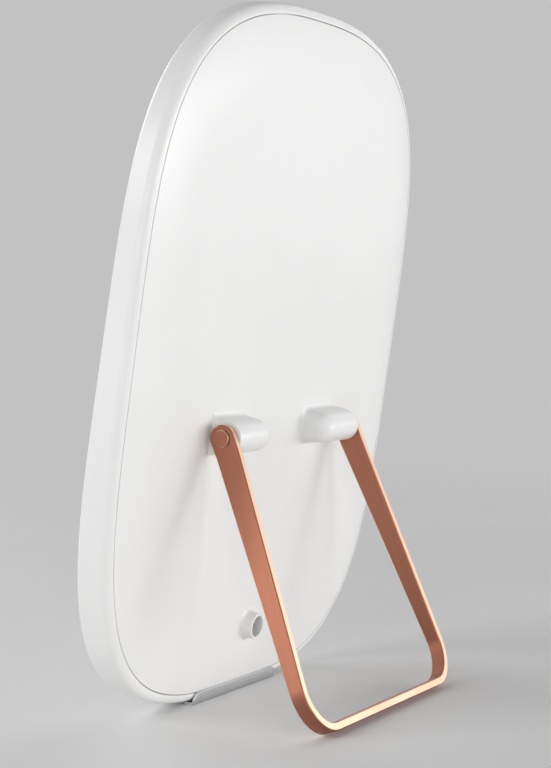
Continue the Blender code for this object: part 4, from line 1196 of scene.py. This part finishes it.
world = bpy.data.worlds.new("studio")
bpy.context.scene.world = world
world.use_nodes = True
world.node_tree.nodes.clear()
rays = node(world, "LightPath")
seen, seen_or_clear = node(world, "Math"), node(world, "Math")
seen.operation = seen_or_clear.operation = "MAXIMUM"
ambient = node(world, "Background", Color=(1, 1, 1, 1), Strength=AMBIENT)
shown = node(world, "Background", Color=(*PALE, 1), Strength=1.0)
blend = node(world, "MixShader")
world_output = node(world, "OutputWorld")
link(world, rays.outputs["Is Camera Ray"], seen.inputs[0])
link(world, rays.outputs["Is Glossy Ray"], seen.inputs[1])
link(world, seen.outputs["Value"], seen_or_clear.inputs[0])
link(world, rays.outputs["Is Transmission Ray"], seen_or_clear.inputs[1])
link(world, seen_or_clear.outputs["Value"], blend.inputs["Fac"])
link(world, ambient.outputs["Background"], blend.inputs[1])
link(world, shown.outputs["Background"], blend.inputs[2])
link(world, blend.outputs["Shader"], world_output.inputs["Surface"])
print("background:", PALE[0], "seen,", AMBIENT, "as light")

# %% [markdown]
# In the photograph the cover is bright and nearly even, and the bosses' flanks and the inlet's collar
# are greyer. So the main soft lamps stand low behind the lamp, where they meet the cover nearly
# square. Those beside and in front of the panel light its rim, its window, the stand and the floor,
# and the panel keeps most of their light off the bosses. One close to the floor brightens the lower
# end of the near leg. All are weak enough to leave the white unclipped.

# %% Lamps
AIM = Vector((0, 0, 0.17))


def softbox(name, place, size, power):
    """A soft lamp, sized in metres and powered in watts, turned to the panel."""
    light = bpy.data.lights.new(name, "AREA")
    light.shape = "RECTANGLE"
    light.size, light.size_y = size
    light.energy = power
    lamp = bpy.data.objects.new(name, light)
    bpy.context.scene.collection.objects.link(lamp)
    lamp.location = place
    lamp.rotation_euler = (AIM - Vector(place)).to_track_quat("-Z", "Y").to_euler()
    print(f"{name}: {power} W")


softbox("back_box", (-0.3, 1.9, 0.25), (2.2, 0.4), 21)
softbox("corner_box", (-1.5, 1.9, 0.35), (1.6, 0.6), 8)
softbox("low_far_box", (-1.7, 0.9, 0.45), (1.2, 0.7), 1.8)
softbox("high_far_box", (-1.75, 0.1, 1.05), (0.9, 0.8), 2.5)
softbox("camera_box", (1.9, 0.8, 0.4), (1.4, 0.7), 10)
softbox("side_box", (1.7, -1.0, 1.0), (1.2, 0.8), 17)
softbox("floor_box", (1.45, -0.72, 0.11), (1.2, 0.2), 2.1)
softbox("front_box", (-0.25, -1.8, 1.1), (1.4, 0.8), 14)

# %% [markdown]
# The camera stands behind the lamp on its right, a little above the pivots and about 950 mm away.
# Its place, turn and lens come from fitting the photograph's outlines.

# %% Camera
CAMERA_PLACE = Vector((0.832567, 0.462486, 0.205277))
AZIMUTH, ELEVATION, ROLL = 2.057, -0.048, 0.023
LENS, SENSOR_WIDTH = 86.633, 36
NEAR_LIMIT = 0.02

camera_data = bpy.data.cameras.new("camera")
camera = bpy.data.objects.new("camera", camera_data)
bpy.context.scene.collection.objects.link(camera)
camera_data.lens = LENS
camera_data.sensor_width = SENSOR_WIDTH
camera_data.clip_start = NEAR_LIMIT
camera.matrix_world = (
    Matrix.Translation(CAMERA_PLACE)
    @ Matrix.Rotation(AZIMUTH, 4, "Z")
    @ Matrix.Rotation(math.pi / 2 + ELEVATION, 4, "X")
    @ Matrix.Rotation(ROLL, 4, "Z")
)
bpy.context.scene.camera = camera
bpy.context.scene.view_settings.view_transform = "Standard"
print("camera:", round((CAMERA_PLACE - AIM).length / MM), "mm from the panel's middle")
